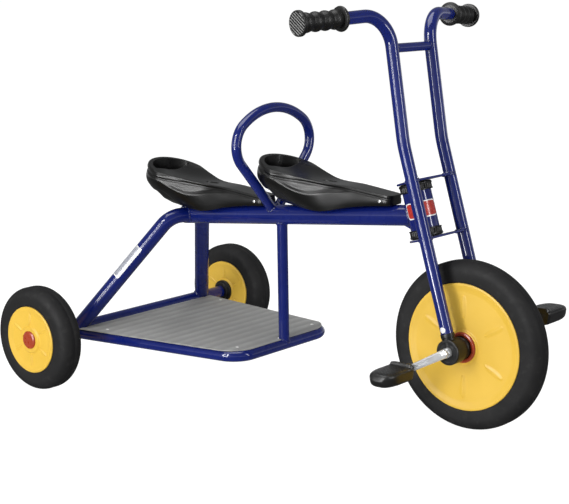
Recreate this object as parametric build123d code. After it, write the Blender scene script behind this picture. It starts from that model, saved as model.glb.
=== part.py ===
from build123d import *
import os
from math import acos, atan2, cos, degrees, radians, sin, sqrt, tan

# Toddler tricycle for a rider and a passenger. Millimetres, +X forwards, +Y to the rider's left,
# +Z up, origin on the floor below the middle of the overall length.

# Stance
WHEELBASE = 863.0
TRACK = 600.0
RAKE = 15.8

# Front wheel
FRONT_RADIUS = 160.0
FRONT_WIDTH = 50.0
FRONT_TYRE_HEIGHT = 40.0
FRONT_SHOULDER = 20.0
FRONT_RING_DIAMETER = 58.0
FRONT_COLLAR_DIAMETER = 43.0

# Rear wheels
REAR_RADIUS = 108.0
REAR_WIDTH = 54.0
REAR_TYRE_HEIGHT = 38.5
REAR_SHOULDER = 19.0
REAR_CAP_DIAMETER = 37.0
REAR_COLLAR_DIAMETER = 50.0
REAR_COLLAR_STEP_DIAMETER = 39.0
REAR_COLLAR_FLANGE = 6.0
REAR_COLLAR_LENGTH = 12.0
REAR_CAP_HEIGHT = 5.0
REAR_CAP_BEVEL = 2.5

# Both kinds of wheel
DISC_PROUD = 1.5
DISC_LIP = 3.5
DISC_DISH = 3.0
PETALS = 6
PETAL_TURN = 30.0
PETAL_SPREAD = 13.0
PETAL_START = 0.47
PETAL_END = 0.79
PETAL_HEIGHT = 2.5
DISC_BEVEL = 2.0
SHOULDER_STEPS = 3

# Tubes
FORK_TUBE = 24.0
BRACE_TUBE = 17.0
MAIN_TUBE = 40.0
STRUT_TUBE = 32.0
AXLE_TUBE = 27.0
DECK_TUBE = 23.0
POST_TUBE = 22.0
LOOP_TUBE = 20.0

# Fork and handlebar, measured along and across the steering axis from the front hub
FORK_SPREAD = 62.5
FORK_BEND_UP = 388.0
FORK_BEND_ANGLE = 7.6
FORK_BEND_RADIUS = 220.0
BAR_UP = 623.0
BAR_BEND_RADIUS = 58.0
BAR_SWEEP = 11.5
BRACE_BELOW_BEND = 3.0
GRIP_START = 170.0
GRIP_LENGTH = 106.0
GRIP_BODY = 31.0
GRIP_FLANGE = 46.0
GRIP_FLANGE_THICKNESS = 8.0
GRIP_WAVES = 4
GRIP_WAVE_HEIGHT = 2.5
GRIP_BEVEL = 2.0
GRIP_END_WALL = 6.0

# Steering head, on an axis behind the fork legs
HEAD_BACK = 39.2
HEAD_BELOW_MAIN = 10.0
HEAD_ABOVE_MAIN = 20.5
HEAD_DIAMETER = 55.0
HEAD_WALL = 3.0
HEAD_CAP_DIAMETER = 63.0
HEAD_CAP_HEIGHT = 16.5
HEAD_CAP_BEVEL = 2.5
CROWN_GAP = 0.5
CROWN_THICKNESS = 4.0
CROWN_MARGIN = 2.7
CROWN_LEG_RADIUS = 8.0
SPINDLE_DIAMETER = 22.0

# Main tube, its rear struts and the rear axle
MAIN_HEAD_UP = 253.6
MAIN_SLOPE = 4.79
MAIN_LENGTH = 618.4
STRUT_FOOT_SPREAD = 194.0
STRUT_KNEE_AHEAD = 4.4
STRUT_KNEE_RISE = 1.3
STRUT_KNEE_SPREAD = 49.6
STRUT_BEND_RADIUS = 52.0
STRUT_TUCK = 25.0
AXLE_ROD = 12.0
AXLE_ROD_INSET = 6.0
AXLE_TUBE_END_GAP = 1.0
GUSSET_THICKNESS = 5.0
GUSSET_LENGTH = 16.0
GUSSET_CAP_GAP = 1.5

# Passenger deck
DECK_LENGTH = 413.0
DECK_FRONT_Z = 94.0
DECK_REAR_Z = 97.5
DECK_FRONT_SPREAD = 141.0
DECK_REAR_SPREAD = 198.0
DECK_CORNER_RADIUS = 45.0
PLATE_THICKNESS = 2.0
PLATE_OVERHANG = 10.0
PLATE_FRONT_AHEAD = 4.0
PLATE_RIBS = 12
PLATE_RIB_HEIGHT = 1.2
PLATE_RIB_WIDTH = 14.0
PLATE_BORDER = 26.0
PLATE_REAR_GAP = 2.0
POST_NOTCH_GAP = 3.0

# Passenger's handle loop
LOOP_BEHIND_SADDLE = 142.5
LOOP_HALF_WIDTH = 114.5
LOOP_WIDEST_ABOVE_MAIN = 147.0
LOOP_TOP_ABOVE_MAIN = 218.0
LOOP_SIDE_RADIUS = 52.0
LOOP_LEG_ANGLE = 47.0

# Saddles, each measured from the small slot in its middle
SADDLE_AHEAD_OF_MAIN_END = 82.5
SADDLE_PITCH = 315.0
SADDLE_SLOT = (26.0, 11.0, 5.0)
SADDLE_RIM_RISE = 18.5
SADDLE_DISH_LONG_RADIUS = 267.0
SADDLE_DISH_CROSS_RADIUS = 190.0
SADDLE_DISH_DEPTH = 30.0
SADDLE_DISH_ABOVE_MAIN = 67.5
SADDLE_HOLE_RADIUS = 57.0
SADDLE_HOLE_FRONT = 108.0
SADDLE_HOLE_ROUND = 8.0

# Sections of a saddle, from the middle of its round back to its nose: distance ahead of the slot,
# then half width and height above the main tube's middle at five levels of the side.
SADDLE_SECTIONS = (
    # ahead, rim, shoulder, flank, crease, skirt
    (-94.0, (66.0, 89.5), (72.0, 75.0), (62.0, 54.0), (40.0, 30.0), (20.0, 18.0)),
    (-50.0, (48.5, 79.5), (55.0, 66.5), (52.0, 46.0), (42.0, 25.0), (30.0, 14.0)),
    (0.0, (32.0, 69.0), (36.0, 56.0), (38.0, 40.0), (38.0, 24.0), (36.0, 11.0)),
    (70.0, (26.5, 63.5), (29.0, 54.0), (31.0, 43.0), (31.0, 33.0), (29.0, 24.0)),
    (120.0, (24.5, 57.0), (26.0, 50.5), (27.5, 44.0), (27.5, 37.0), (25.5, 30.5)),
    (160.0, (22.5, 52.0), (23.5, 47.0), (24.5, 42.5), (24.5, 38.0), (22.5, 33.0)),
)

# Pedal drive
CRANK_LENGTH = 97.0
CRANK_ANGLE = 28.0
CRANK_WIDTH = 17.0
CRANK_THICKNESS = 12.0
CRANK_FLUTE_WIDTH = 6.0
CRANK_FLUTE_DEPTH = 2.0
CRANK_AXLE = 14.0
CRANK_GAP = 5.0
PEDAL_SPINDLE = 9.0
PEDAL_GAP = 2.0
PEDAL_LENGTH = 84.0
PEDAL_WIDTH = 58.0
PEDAL_THICKNESS = 27.0
PEDAL_ROUND = 20.0
PEDAL_KEEL_ANGLE = 72.0
PEDAL_LIP_HEIGHT = 5.0
PEDAL_LIP_LENGTH = 12.0
HOUSING_DIAMETER = 48.0
HOUSING_THICKNESS = 28.0
SOCKET_DIAMETER = 31.0
SOCKET_TOP = 36.0
SOCKET_FLOOR = 27.0
HUB_GAP = 1.0

# Radial clearance of a shaft that turns in its bearing
RUNNING_FIT = 0.06

FRONT_SEAT_RADIUS = FRONT_RADIUS - FRONT_TYRE_HEIGHT
REAR_SEAT_RADIUS = REAR_RADIUS - REAR_TYRE_HEIGHT
X_REAR = -(WHEELBASE + FRONT_RADIUS - REAR_RADIUS) / 2
X_FRONT = X_REAR + WHEELBASE
SIDES = {"right": -1, "left": 1}
STEER = Plane(
    origin=(X_FRONT, 0, FRONT_RADIUS),
    x_dir=(cos(radians(RAKE)), 0, sin(radians(RAKE))),
    z_dir=(-sin(radians(RAKE)), 0, cos(radians(RAKE))),
)

HEAD = STEER.shift_origin(STEER.from_local_coords(Vector(-HEAD_BACK, 0, 0)))

parts = {}


def steered(ahead, left, up):
    """Point given along the fork's forward direction, to the left and up the steering axis."""
    return STEER.from_local_coords(Vector(ahead, left, up))


def tube(points, radii, diameter):
    """Round bar along straight runs joined by tangent arcs."""
    path = FilletPolyline(*points, radius=radii) if radii else Line(*points)
    return sweep(Plane(origin=path @ 0, z_dir=path % 0) * Circle(diameter / 2), path=path)


def rod(start, end, diameter):
    """Straight round bar between two points."""
    return tube((start, end), None, diameter)


def largest(shape):
    """The main solid of a cut, without the scraps that the cut leaves."""
    return max(shape.solids(), key=lambda solid: solid.volume)


def across(x, y, z):
    """Plane whose normal points to the rider's left, with its own x forwards."""
    return Plane(origin=(x, y, z), x_dir=(1, 0, 0), z_dir=(0, 1, 0))


def turned(outline, x, z):
    """Solid of revolution about a wheel's axle, from points (radius, left)."""
    face = Polygon(*outline, align=None)
    section = Plane(origin=(x, 0, z), x_dir=(0, 0, 1), z_dir=(-1, 0, 0)) * face
    return revolve(section, axis=Axis((x, 0, z), (0, 1, 0)))


def turned_up(plane, outline):
    """Solid of revolution about a plane's own upward axis, from points (radius, up)."""
    return plane * revolve(Plane.XZ * Polygon(*outline, align=None), axis=Axis.Z)


def disc(x, z, radius, low, high, bore=0.0):
    """Round disc on a wheel's axle between two places to the left, with an optional bore."""
    inner = bore / 2
    return turned(((inner, low), (radius, low), (radius, high), (inner, high)), x, z)


# Main tube and steering head
main_front = HEAD.from_local_coords(Vector(0, 0, MAIN_HEAD_UP))
main_direction = Vector(cos(radians(MAIN_SLOPE)), 0, sin(radians(MAIN_SLOPE)))
main_back = main_front - main_direction * MAIN_LENGTH
main_tilt = radians(RAKE - MAIN_SLOPE)
main_half = MAIN_TUBE / 2 / cos(main_tilt)


def main_height(x):
    """Height of the main tube's middle at a place along the tricycle."""
    return main_front.Z + (x - main_front.X) * tan(radians(MAIN_SLOPE))


def main_up(back):
    """Height of the main tube's middle along the steering axis, at a distance behind that axis."""
    return MAIN_HEAD_UP + back * tan(main_tilt)


head_low = main_up(HEAD_DIAMETER / 2) - main_half - HEAD_BELOW_MAIN
head_high = main_up(HEAD_DIAMETER / 2) + main_half + HEAD_ABOVE_MAIN
head_outer = HEAD_DIAMETER / 2
head_inner = head_outer - HEAD_WALL
parts["head_tube"] = turned_up(
    HEAD, ((head_inner, head_low), (head_outer, head_low), (head_outer, head_high), (head_inner, head_high))
)
cap_bore = SPINDLE_DIAMETER / 2 + RUNNING_FIT
cap_outer = HEAD_CAP_DIAMETER / 2
cap_edge = cap_outer - HEAD_CAP_BEVEL
cap_outline = (
    (cap_bore, 0),
    (cap_edge, 0),
    (cap_outer, HEAD_CAP_BEVEL),
    (cap_outer, HEAD_CAP_HEIGHT - HEAD_CAP_BEVEL),
    (cap_edge, HEAD_CAP_HEIGHT),
    (cap_bore, HEAD_CAP_HEIGHT),
)
parts["head_cap_lower"] = turned_up(HEAD.offset(head_low - HEAD_CAP_HEIGHT), cap_outline)
parts["head_cap_upper"] = turned_up(HEAD.offset(head_high), cap_outline)

head_bar = extrude(HEAD.offset(head_low) * Circle(head_outer), head_high - head_low)
main_bar = rod(main_back, main_front, MAIN_TUBE)
parts["main_tube"] = largest(main_bar - head_bar)

# Small triangular gusset under the main tube where it meets the head tube
gusset_back = head_outer + GUSSET_LENGTH
gusset_low = head_low + GUSSET_CAP_GAP
gusset_side = Polygon(
    (0, MAIN_HEAD_UP),
    (-gusset_back, main_up(gusset_back)),
    (-gusset_back, main_up(gusset_back) - main_half),
    (-head_outer, gusset_low),
    (0, gusset_low),
    align=None,
)
gusset_plane = Plane(origin=HEAD.origin, x_dir=HEAD.x_dir, z_dir=-HEAD.y_dir)
gusset = extrude(gusset_plane * gusset_side, GUSSET_THICKNESS / 2, both=True)
parts["gusset"] = largest(gusset - main_bar - head_bar)

# Rear axle and the two struts that carry the main tube
rear_face = REAR_WIDTH / 2 + DISC_PROUD
axle_end = TRACK / 2 - rear_face - REAR_COLLAR_LENGTH - AXLE_TUBE_END_GAP
axle_bar = rod((X_REAR, -axle_end, REAR_RADIUS), (X_REAR, axle_end, REAR_RADIUS), AXLE_TUBE)
rod_end = TRACK / 2 + rear_face - AXLE_ROD_INSET
axle_rod = rod((X_REAR, -rod_end, REAR_RADIUS), (X_REAR, rod_end, REAR_RADIUS), AXLE_ROD)
parts["axle_tube"] = axle_bar - axle_rod
parts["rear_axle"] = axle_rod

for name, side in SIDES.items():
    foot = Vector(X_REAR, side * STRUT_FOOT_SPREAD, REAR_RADIUS)
    knee = main_back + Vector(STRUT_KNEE_AHEAD, side * STRUT_KNEE_SPREAD, STRUT_KNEE_RISE)
    top = main_back + main_direction * STRUT_TUCK
    strut = tube((foot, knee, top), STRUT_BEND_RADIUS, STRUT_TUBE)
    half = extrude(Plane.XZ * Rectangle(4 * WHEELBASE, 4 * WHEELBASE), -side * TRACK)
    parts["rear_strut_" + name] = largest((strut & half) - main_bar - axle_bar)
struts = [parts["rear_strut_" + name] for name in SIDES]

# Deck: one bent tube from the axle round the front, with a ribbed plate on top
deck_front = X_REAR + DECK_LENGTH
deck_corners = [
    Vector(X_REAR, -DECK_REAR_SPREAD, DECK_REAR_Z),
    Vector(deck_front, -DECK_FRONT_SPREAD, DECK_FRONT_Z),
    Vector(deck_front, DECK_FRONT_SPREAD, DECK_FRONT_Z),
    Vector(X_REAR, DECK_REAR_SPREAD, DECK_REAR_Z),
]
deck_bar = tube(deck_corners, DECK_CORNER_RADIUS, DECK_TUBE)
deck_frame = deck_bar - axle_bar
for strut in struts:
    deck_frame = deck_frame - strut
parts["deck_frame"] = largest(deck_frame)

post_bar = rod((deck_front, 0, DECK_FRONT_Z), (deck_front, 0, main_height(deck_front)), POST_TUBE)
parts["post"] = largest(post_bar - deck_bar - main_bar)

deck_slope = degrees(atan2(DECK_REAR_Z - DECK_FRONT_Z, DECK_LENGTH))
deck_plane = Plane(
    origin=(deck_front, 0, DECK_FRONT_Z),
    x_dir=(cos(radians(deck_slope)), 0, -sin(radians(deck_slope))),
    z_dir=(sin(radians(deck_slope)), 0, cos(radians(deck_slope))),
).offset(DECK_TUBE / 2)
plate_back = -DECK_LENGTH + AXLE_TUBE / 2 + PLATE_REAR_GAP
plate_front = PLATE_FRONT_AHEAD


def deck_spread(ahead):
    """Half width between the side rails' middles, measured back from the front rail."""
    return DECK_FRONT_SPREAD - (DECK_REAR_SPREAD - DECK_FRONT_SPREAD) * ahead / DECK_LENGTH


plate_back_half = deck_spread(plate_back) + PLATE_OVERHANG
plate_front_half = deck_spread(plate_front) + PLATE_OVERHANG
plate_face = Polygon(
    (plate_back, -plate_back_half),
    (plate_front, -plate_front_half),
    (plate_front, plate_front_half),
    (plate_back, plate_back_half),
    align=None,
)
front_corners = plate_face.vertices().group_by(Axis.X)[-1]
plate_face = fillet(front_corners, DECK_CORNER_RADIUS + PLATE_FRONT_AHEAD)
plate = extrude(deck_plane * plate_face, PLATE_THICKNESS)
rib_pitch = (plate_front - plate_back - 2 * PLATE_BORDER) / PLATE_RIBS
for index in range(PLATE_RIBS):
    ahead = plate_back + PLATE_BORDER + (index + 0.5) * rib_pitch
    rib_length = 2 * (deck_spread(ahead) - PLATE_BORDER)
    rib_face = Pos(ahead, 0) * SlotOverall(rib_length, PLATE_RIB_WIDTH, rotation=90)
    plate = plate + extrude(deck_plane.offset(PLATE_THICKNESS) * rib_face, PLATE_RIB_HEIGHT, taper=40)
notch = rod(
    (deck_front, 0, DECK_FRONT_Z), (deck_front, 0, main_height(deck_front)), POST_TUBE + 2 * POST_NOTCH_GAP
)
plate = plate - notch - deck_bar - axle_bar
for strut in struts:
    plate = plate - strut
parts["deck_plate"] = largest(plate)

# Passenger's loop: two legs from the top of the main tube, round sides and a flatter top
saddle_places = {
    "front_seat": main_back.X + SADDLE_AHEAD_OF_MAIN_END + SADDLE_PITCH,
    "rear_seat": main_back.X + SADDLE_AHEAD_OF_MAIN_END,
}
loop_x = saddle_places["front_seat"] - LOOP_BEHIND_SADDLE
loop_base = main_height(loop_x)
leg = radians(LOOP_LEG_ANGLE)
side_centre = (LOOP_HALF_WIDTH - LOOP_SIDE_RADIUS, LOOP_WIDEST_ABOVE_MAIN)
rise = LOOP_TOP_ABOVE_MAIN - LOOP_WIDEST_ABOVE_MAIN
top_radius = (side_centre[0] ** 2 + rise**2 - LOOP_SIDE_RADIUS**2) / (2 * (rise - LOOP_SIDE_RADIUS))
top_centre = (0.0, LOOP_TOP_ABOVE_MAIN - top_radius)
toward = Vector(side_centre[0], side_centre[1] - top_centre[1]).normalized()


def loop_point(across_half, up):
    """Point in the loop's upright plane."""
    return Vector(loop_x, across_half, loop_base + up)


def loop_half(side):
    """Leg, side bend and half of the top of the loop, on one side."""
    start = (
        side_centre[0] + LOOP_SIDE_RADIUS * sin(leg),
        side_centre[1] - LOOP_SIDE_RADIUS * cos(leg),
    )
    foot = (start[0] - start[1] / tan(leg), 0.0)
    meet = (
        side_centre[0] + LOOP_SIDE_RADIUS * toward.X,
        side_centre[1] + LOOP_SIDE_RADIUS * toward.Y,
    )
    widest = (LOOP_HALF_WIDTH, side_centre[1])
    half_angle = atan2(toward.X, toward.Y) / 2
    between = (top_radius * sin(half_angle), top_centre[1] + top_radius * cos(half_angle))
    crown = (0.0, LOOP_TOP_ABOVE_MAIN)
    places = [loop_point(side * y, up) for y, up in (foot, start, widest, meet, between, crown)]
    return [
        Line(places[0], places[1]),
        ThreePointArc(places[1], places[2], places[3]),
        ThreePointArc(places[3], places[4], places[5]),
    ]


right_half = loop_half(-1)
left_half = loop_half(1)
loop_path = Wire(right_half + left_half)
loop_start = right_half[0]
loop_section = Plane(origin=loop_start @ 0, z_dir=loop_start % 0) * Circle(LOOP_TUBE / 2)
loop_bar = sweep(loop_section, path=loop_path)
parts["passenger_loop"] = largest(loop_bar - main_bar)


def saddle(x):
    """Moulded saddle: round back, lofted middle and nose, dished top, hand hole and slot."""
    base = main_height(x)
    sections = []
    for ahead, *half in SADDLE_SECTIONS:
        outline = list(half) + [(-y, up) for y, up in reversed(half)]
        plane = Plane(origin=(x + ahead, 0, base), x_dir=(0, 1, 0), z_dir=(1, 0, 0))
        sections.append(plane * Polygon(*outline, align=None))
    middle = loft(sections)

    back, *profile = SADDLE_SECTIONS[0]
    rim_half, rim_up = profile[0]
    back_radius = max(y for y, up in profile)
    tall = rim_up + back_radius
    outline = [(0, tall), (rim_half, tall)] + list(profile) + [(0, profile[-1][1])]
    back_plane = Plane(origin=(x + back, 0, base), x_dir=(0, 1, 0), z_dir=(1, 0, 0))
    back_axis = Axis((x + back, 0, base), (0, 0, 1))
    bowl = revolve(back_plane * Polygon(*outline, align=None), axis=back_axis, revolution_arc=180)
    rise = radians(SADDLE_RIM_RISE)
    rim_plane = Plane(origin=(x + back, 0, base + rim_up), x_dir=(0, 1, 0), z_dir=(sin(rise), 0, cos(rise)))
    bowl = bowl - extrude(rim_plane * Rectangle(4 * back_radius, 4 * back_radius), 2 * tall)
    form = middle + bowl

    dish_radius = SADDLE_DISH_CROSS_RADIUS
    chord = sqrt(dish_radius**2 - (dish_radius - SADDLE_DISH_DEPTH) ** 2)
    dish_face = make_face(
        [
            ThreePointArc((-chord, SADDLE_DISH_DEPTH), (0, 0), (chord, SADDLE_DISH_DEPTH)),
            Line((chord, SADDLE_DISH_DEPTH), (-chord, SADDLE_DISH_DEPTH)),
        ]
    )
    dish_low = base + SADDLE_DISH_ABOVE_MAIN
    dish_plane = Plane(origin=(x, 0, dish_low), x_dir=(0, 1, 0), z_dir=(1, 0, 0))
    dish_axis = Axis((x, 0, dish_low + SADDLE_DISH_LONG_RADIUS), (0, 1, 0))
    form = form - revolve(dish_plane * dish_face, axis=dish_axis)

    ahead_half = Pos(-SADDLE_HOLE_FRONT - back_radius, 0) * Rectangle(2 * back_radius, 4 * back_radius)
    hole = (Pos(back, 0) * Circle(SADDLE_HOLE_RADIUS)) & ahead_half
    hole = fillet(hole.vertices(), SADDLE_HOLE_ROUND)
    form = form - extrude(Plane(origin=(x, 0, base)) * hole, tall)
    long, wide, deep = SADDLE_SLOT
    form = form - extrude(Plane(origin=(x, 0, dish_low - deep)) * SlotOverall(long, wide), tall)
    return largest(form - main_bar)


for name, place in saddle_places.items():
    parts[name] = saddle(place)

# Steering body: fork legs that run on up into the bars, crown plates, spindle and brace
lean = radians(FORK_BEND_ANGLE)
bar_ahead = (BAR_UP - FORK_BEND_UP) * tan(lean)
sweep_back = radians(BAR_SWEEP)
bar_turn = acos(-sin(lean) * sin(sweep_back))
brace_up = BAR_UP - BAR_BEND_RADIUS * tan(bar_turn / 2) * cos(lean) - BRACE_BELOW_BEND
brace_ahead = (brace_up - FORK_BEND_UP) * tan(lean)


def bar_point(side, left):
    """Point on the straight outer run of a handlebar."""
    return steered(bar_ahead - (left - FORK_SPREAD) * tan(sweep_back), side * left, BAR_UP)


fork_bars = {}
bar_end = GRIP_START + (GRIP_LENGTH - GRIP_END_WALL) * cos(sweep_back)
for name, side in SIDES.items():
    route = (
        steered(0, side * FORK_SPREAD, SOCKET_FLOOR),
        steered(0, side * FORK_SPREAD, FORK_BEND_UP),
        bar_point(side, FORK_SPREAD),
        bar_point(side, bar_end),
    )
    fork_bars[name] = tube(route, [FORK_BEND_RADIUS, BAR_BEND_RADIUS], FORK_TUBE)
    parts["fork_tube_" + name] = fork_bars[name]

brace = rod(
    steered(brace_ahead, -FORK_SPREAD, brace_up), steered(brace_ahead, FORK_SPREAD, brace_up), BRACE_TUBE
)
for bar in fork_bars.values():
    brace = brace - bar
parts["brace"] = largest(brace)

crown_lows = {
    "lower": head_low - HEAD_CAP_HEIGHT - CROWN_GAP - CROWN_THICKNESS,
    "upper": head_high + HEAD_CAP_HEIGHT + CROWN_GAP,
}
spindle_low = crown_lows["lower"]
spindle_high = crown_lows["upper"] + CROWN_THICKNESS
parts["steering_spindle"] = extrude(
    HEAD.offset(spindle_low) * Circle(SPINDLE_DIAMETER / 2), spindle_high - spindle_low
)

# Crown plates: from leg to leg in front, rounded behind about the head's caps
corners = Circle(cap_outer + CROWN_MARGIN).edges()
for side in SIDES.values():
    corners += (Pos(HEAD_BACK, side * FORK_SPREAD) * Circle(CROWN_LEG_RADIUS)).edges()
crown_face = make_hull(corners) - Circle(SPINDLE_DIAMETER / 2)
for name, low in crown_lows.items():
    plate = extrude(HEAD.offset(low) * crown_face, CROWN_THICKNESS)
    for bar in fork_bars.values():
        plate = plate - bar
    parts["crown_plate_" + name] = largest(plate)


def grip(side):
    """Moulded grip: flange, wavy hold, end disc, bored for the bar."""
    along = (bar_point(side, GRIP_START + 1) - bar_point(side, GRIP_START)).normalized()
    plane = Plane(origin=bar_point(side, GRIP_START), z_dir=along, x_dir=STEER.z_dir)
    bore = FORK_TUBE / 2
    body = GRIP_BODY / 2
    flange = GRIP_FLANGE / 2
    inner_end = GRIP_FLANGE_THICKNESS
    outer_end = GRIP_LENGTH - GRIP_FLANGE_THICKNESS
    outline = [(bore, 0), (flange - GRIP_BEVEL, 0), (flange, GRIP_BEVEL), (flange, inner_end)]
    pitch = (outer_end - inner_end) / GRIP_WAVES
    for index in range(GRIP_WAVES):
        low = inner_end + index * pitch
        outline += [(body, low), (body + GRIP_WAVE_HEIGHT, low + pitch / 2)]
    outline += [(body, outer_end), (flange, outer_end), (flange, GRIP_LENGTH - GRIP_BEVEL)]
    outline += [(flange - GRIP_BEVEL, GRIP_LENGTH), (0, GRIP_LENGTH)]
    outline += [(0, GRIP_LENGTH - GRIP_END_WALL), (bore, GRIP_LENGTH - GRIP_END_WALL)]
    return turned_up(plane, outline)


for name, side in SIDES.items():
    parts["grip_" + name] = grip(side)

# Bearing housings at the fork's feet
housing_inner = FORK_SPREAD + FORK_TUBE / 2 + HUB_GAP - HOUSING_THICKNESS
housing_outer = housing_inner + HOUSING_THICKNESS
for name, side in SIDES.items():
    ends = sorted((side * housing_inner, side * housing_outer))
    housing = disc(X_FRONT, FRONT_RADIUS, HOUSING_DIAMETER / 2, *ends)
    collar = extrude(STEER * Pos(0, side * FORK_SPREAD) * Circle(SOCKET_DIAMETER / 2), SOCKET_TOP)
    axle_bore = disc(X_FRONT, FRONT_RADIUS, CRANK_AXLE / 2 + RUNNING_FIT, *ends)
    socket = rod(
        steered(0, side * FORK_SPREAD, SOCKET_FLOOR),
        steered(0, side * FORK_SPREAD, 2 * SOCKET_TOP),
        FORK_TUBE,
    )
    collar_keep = disc(X_FRONT, FRONT_RADIUS, 2 * SOCKET_TOP, *ends)
    parts["hub_housing_" + name] = largest(housing + (collar & collar_keep) - axle_bore - socket)


def tyre(x, z, radius, width, seat, shoulder):
    """Solid rubber tyre on its seat, each shoulder a row of chords of its arc."""
    half = [(seat, width / 2)]
    for step in range(SHOULDER_STEPS + 1):
        angle = radians(90 * step / SHOULDER_STEPS)
        half.append((radius - shoulder + shoulder * sin(angle), width / 2 - shoulder + shoulder * cos(angle)))
    return turned(half + [(r, -left) for r, left in reversed(half)], x, z)


def wheel_disc(x, z, width, seat, bore, hub_radius):
    """Moulded wheel centre: raised lip, dished face and a ring of raised petals on each side."""
    face = width / 2 + DISC_PROUD
    floor = face - DISC_DISH
    half = (
        (bore / 2, face),
        (hub_radius, face),
        (hub_radius + DISC_DISH, floor),
        (seat - DISC_LIP - DISC_DISH, floor),
        (seat - DISC_LIP, face),
        (seat - DISC_BEVEL, face),
        (seat, width / 2 - DISC_BEVEL),
    )
    outline = list(half) + [(radius, -left) for radius, left in reversed(half)]
    wheel = turned(outline, x, z)
    first = seat * PETAL_START
    last = seat * PETAL_END
    spread = tan(radians(PETAL_SPREAD / 2))
    petal = Polygon(
        (first, -first * spread), (last, -last * spread), (last, last * spread), (first, first * spread),
        align=None,
    )
    for side in SIDES.values():
        plane = across(x, side * floor, z)
        for index in range(PETALS):
            spot = Rot(0, 0, PETAL_TURN + index * 360 / PETALS)
            wheel = wheel + extrude(plane * spot * petal, side * PETAL_HEIGHT)
    return wheel


# Front wheel with its red rings and black collars
front_face = FRONT_WIDTH / 2 + DISC_PROUD
parts["front_tyre"] = tyre(
    X_FRONT, FRONT_RADIUS, FRONT_RADIUS, FRONT_WIDTH, FRONT_SEAT_RADIUS, FRONT_SHOULDER
)
parts["front_disc"] = wheel_disc(
    X_FRONT, FRONT_RADIUS, FRONT_WIDTH, FRONT_SEAT_RADIUS, CRANK_AXLE, FRONT_RING_DIAMETER / 2
)
for name, side in SIDES.items():
    ring_ends = sorted((side * front_face, side * (front_face + DISC_DISH + DISC_PROUD)))
    parts["front_hub_ring_" + name] = disc(
        X_FRONT, FRONT_RADIUS, FRONT_RING_DIAMETER / 2, *ring_ends, bore=FRONT_COLLAR_DIAMETER
    )
    collar_ends = sorted((side * front_face, side * (housing_inner - HUB_GAP)))
    parts["front_hub_collar_" + name] = disc(
        X_FRONT, FRONT_RADIUS, FRONT_COLLAR_DIAMETER / 2, *collar_ends, bore=CRANK_AXLE
    )

# Crank axle: one shaft through the hub, two fluted arms and the pedals' spindles
crank_inner = housing_outer + CRANK_GAP
crank_outer = crank_inner + CRANK_THICKNESS
pedal_inner = crank_outer + PEDAL_GAP
pedal_outer = pedal_inner + PEDAL_LENGTH
crank = rod((X_FRONT, -crank_outer, FRONT_RADIUS), (X_FRONT, crank_outer, FRONT_RADIUS), CRANK_AXLE)
crank_ends = {}
for name, side in SIDES.items():
    reach = Vector(cos(radians(CRANK_ANGLE)), 0, sin(radians(CRANK_ANGLE))) * (side * CRANK_LENGTH)
    end = Vector(X_FRONT, 0, FRONT_RADIUS) + reach
    crank_ends[name] = end
    plane = across(X_FRONT, side * crank_inner, FRONT_RADIUS)
    spot = Rot(0, 0, -CRANK_ANGLE) * Pos(side * CRANK_LENGTH / 2, 0)
    arm = extrude(plane * spot * SlotCenterToCenter(CRANK_LENGTH, CRANK_WIDTH), side * CRANK_THICKNESS)
    flute_length = CRANK_LENGTH - 2 * CRANK_WIDTH
    flute_plane = across(X_FRONT, side * (crank_outer - CRANK_FLUTE_DEPTH), FRONT_RADIUS)
    flute = extrude(
        flute_plane * spot * SlotCenterToCenter(flute_length, CRANK_FLUTE_WIDTH), side * CRANK_THICKNESS
    )
    spindle = rod(
        (end.X, side * crank_inner, end.Z),
        (end.X, side * (pedal_outer - PEDAL_ROUND / 2), end.Z),
        PEDAL_SPINDLE,
    )
    crank = crank + (arm - flute) + spindle
parts["crank_axle"] = crank


def pedal(name):
    """Boat-shaped pedal block with a rounded outer end and a raised lip at its inner end."""
    side = SIDES[name]
    end = crank_ends[name]
    outline = FilletPolyline(
        (-PEDAL_WIDTH / 2, 0),
        (-PEDAL_WIDTH / 2, PEDAL_LENGTH),
        (PEDAL_WIDTH / 2, PEDAL_LENGTH),
        (PEDAL_WIDTH / 2, 0),
        radius=[PEDAL_ROUND / 4, PEDAL_ROUND, PEDAL_ROUND, PEDAL_ROUND / 4],
        close=True,
    )
    plane = Plane(
        origin=(end.X, side * pedal_inner, end.Z - PEDAL_THICKNESS / 2),
        x_dir=(side, 0, 0),
        z_dir=(0, 0, 1),
    )
    block = extrude(plane * make_face(outline), PEDAL_THICKNESS)
    keel = Trapezoid(PEDAL_WIDTH, PEDAL_THICKNESS, PEDAL_KEEL_ANGLE, rotation=180)
    block = block & extrude(across(end.X, 0, end.Z) * keel, side * pedal_outer)
    lip = Pos(0, PEDAL_LIP_LENGTH / 2) * RectangleRounded(PEDAL_WIDTH * 0.8, PEDAL_LIP_LENGTH, 3)
    block = block + extrude(plane.offset(PEDAL_THICKNESS) * lip, PEDAL_LIP_HEIGHT)
    bore = rod(
        (end.X, side * (pedal_inner - PEDAL_GAP), end.Z),
        (end.X, side * (pedal_outer - PEDAL_ROUND / 2 + PEDAL_GAP), end.Z),
        PEDAL_SPINDLE + 2 * RUNNING_FIT,
    )
    return block - bore


for name in SIDES:
    parts["pedal_" + name] = pedal(name)

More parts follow.
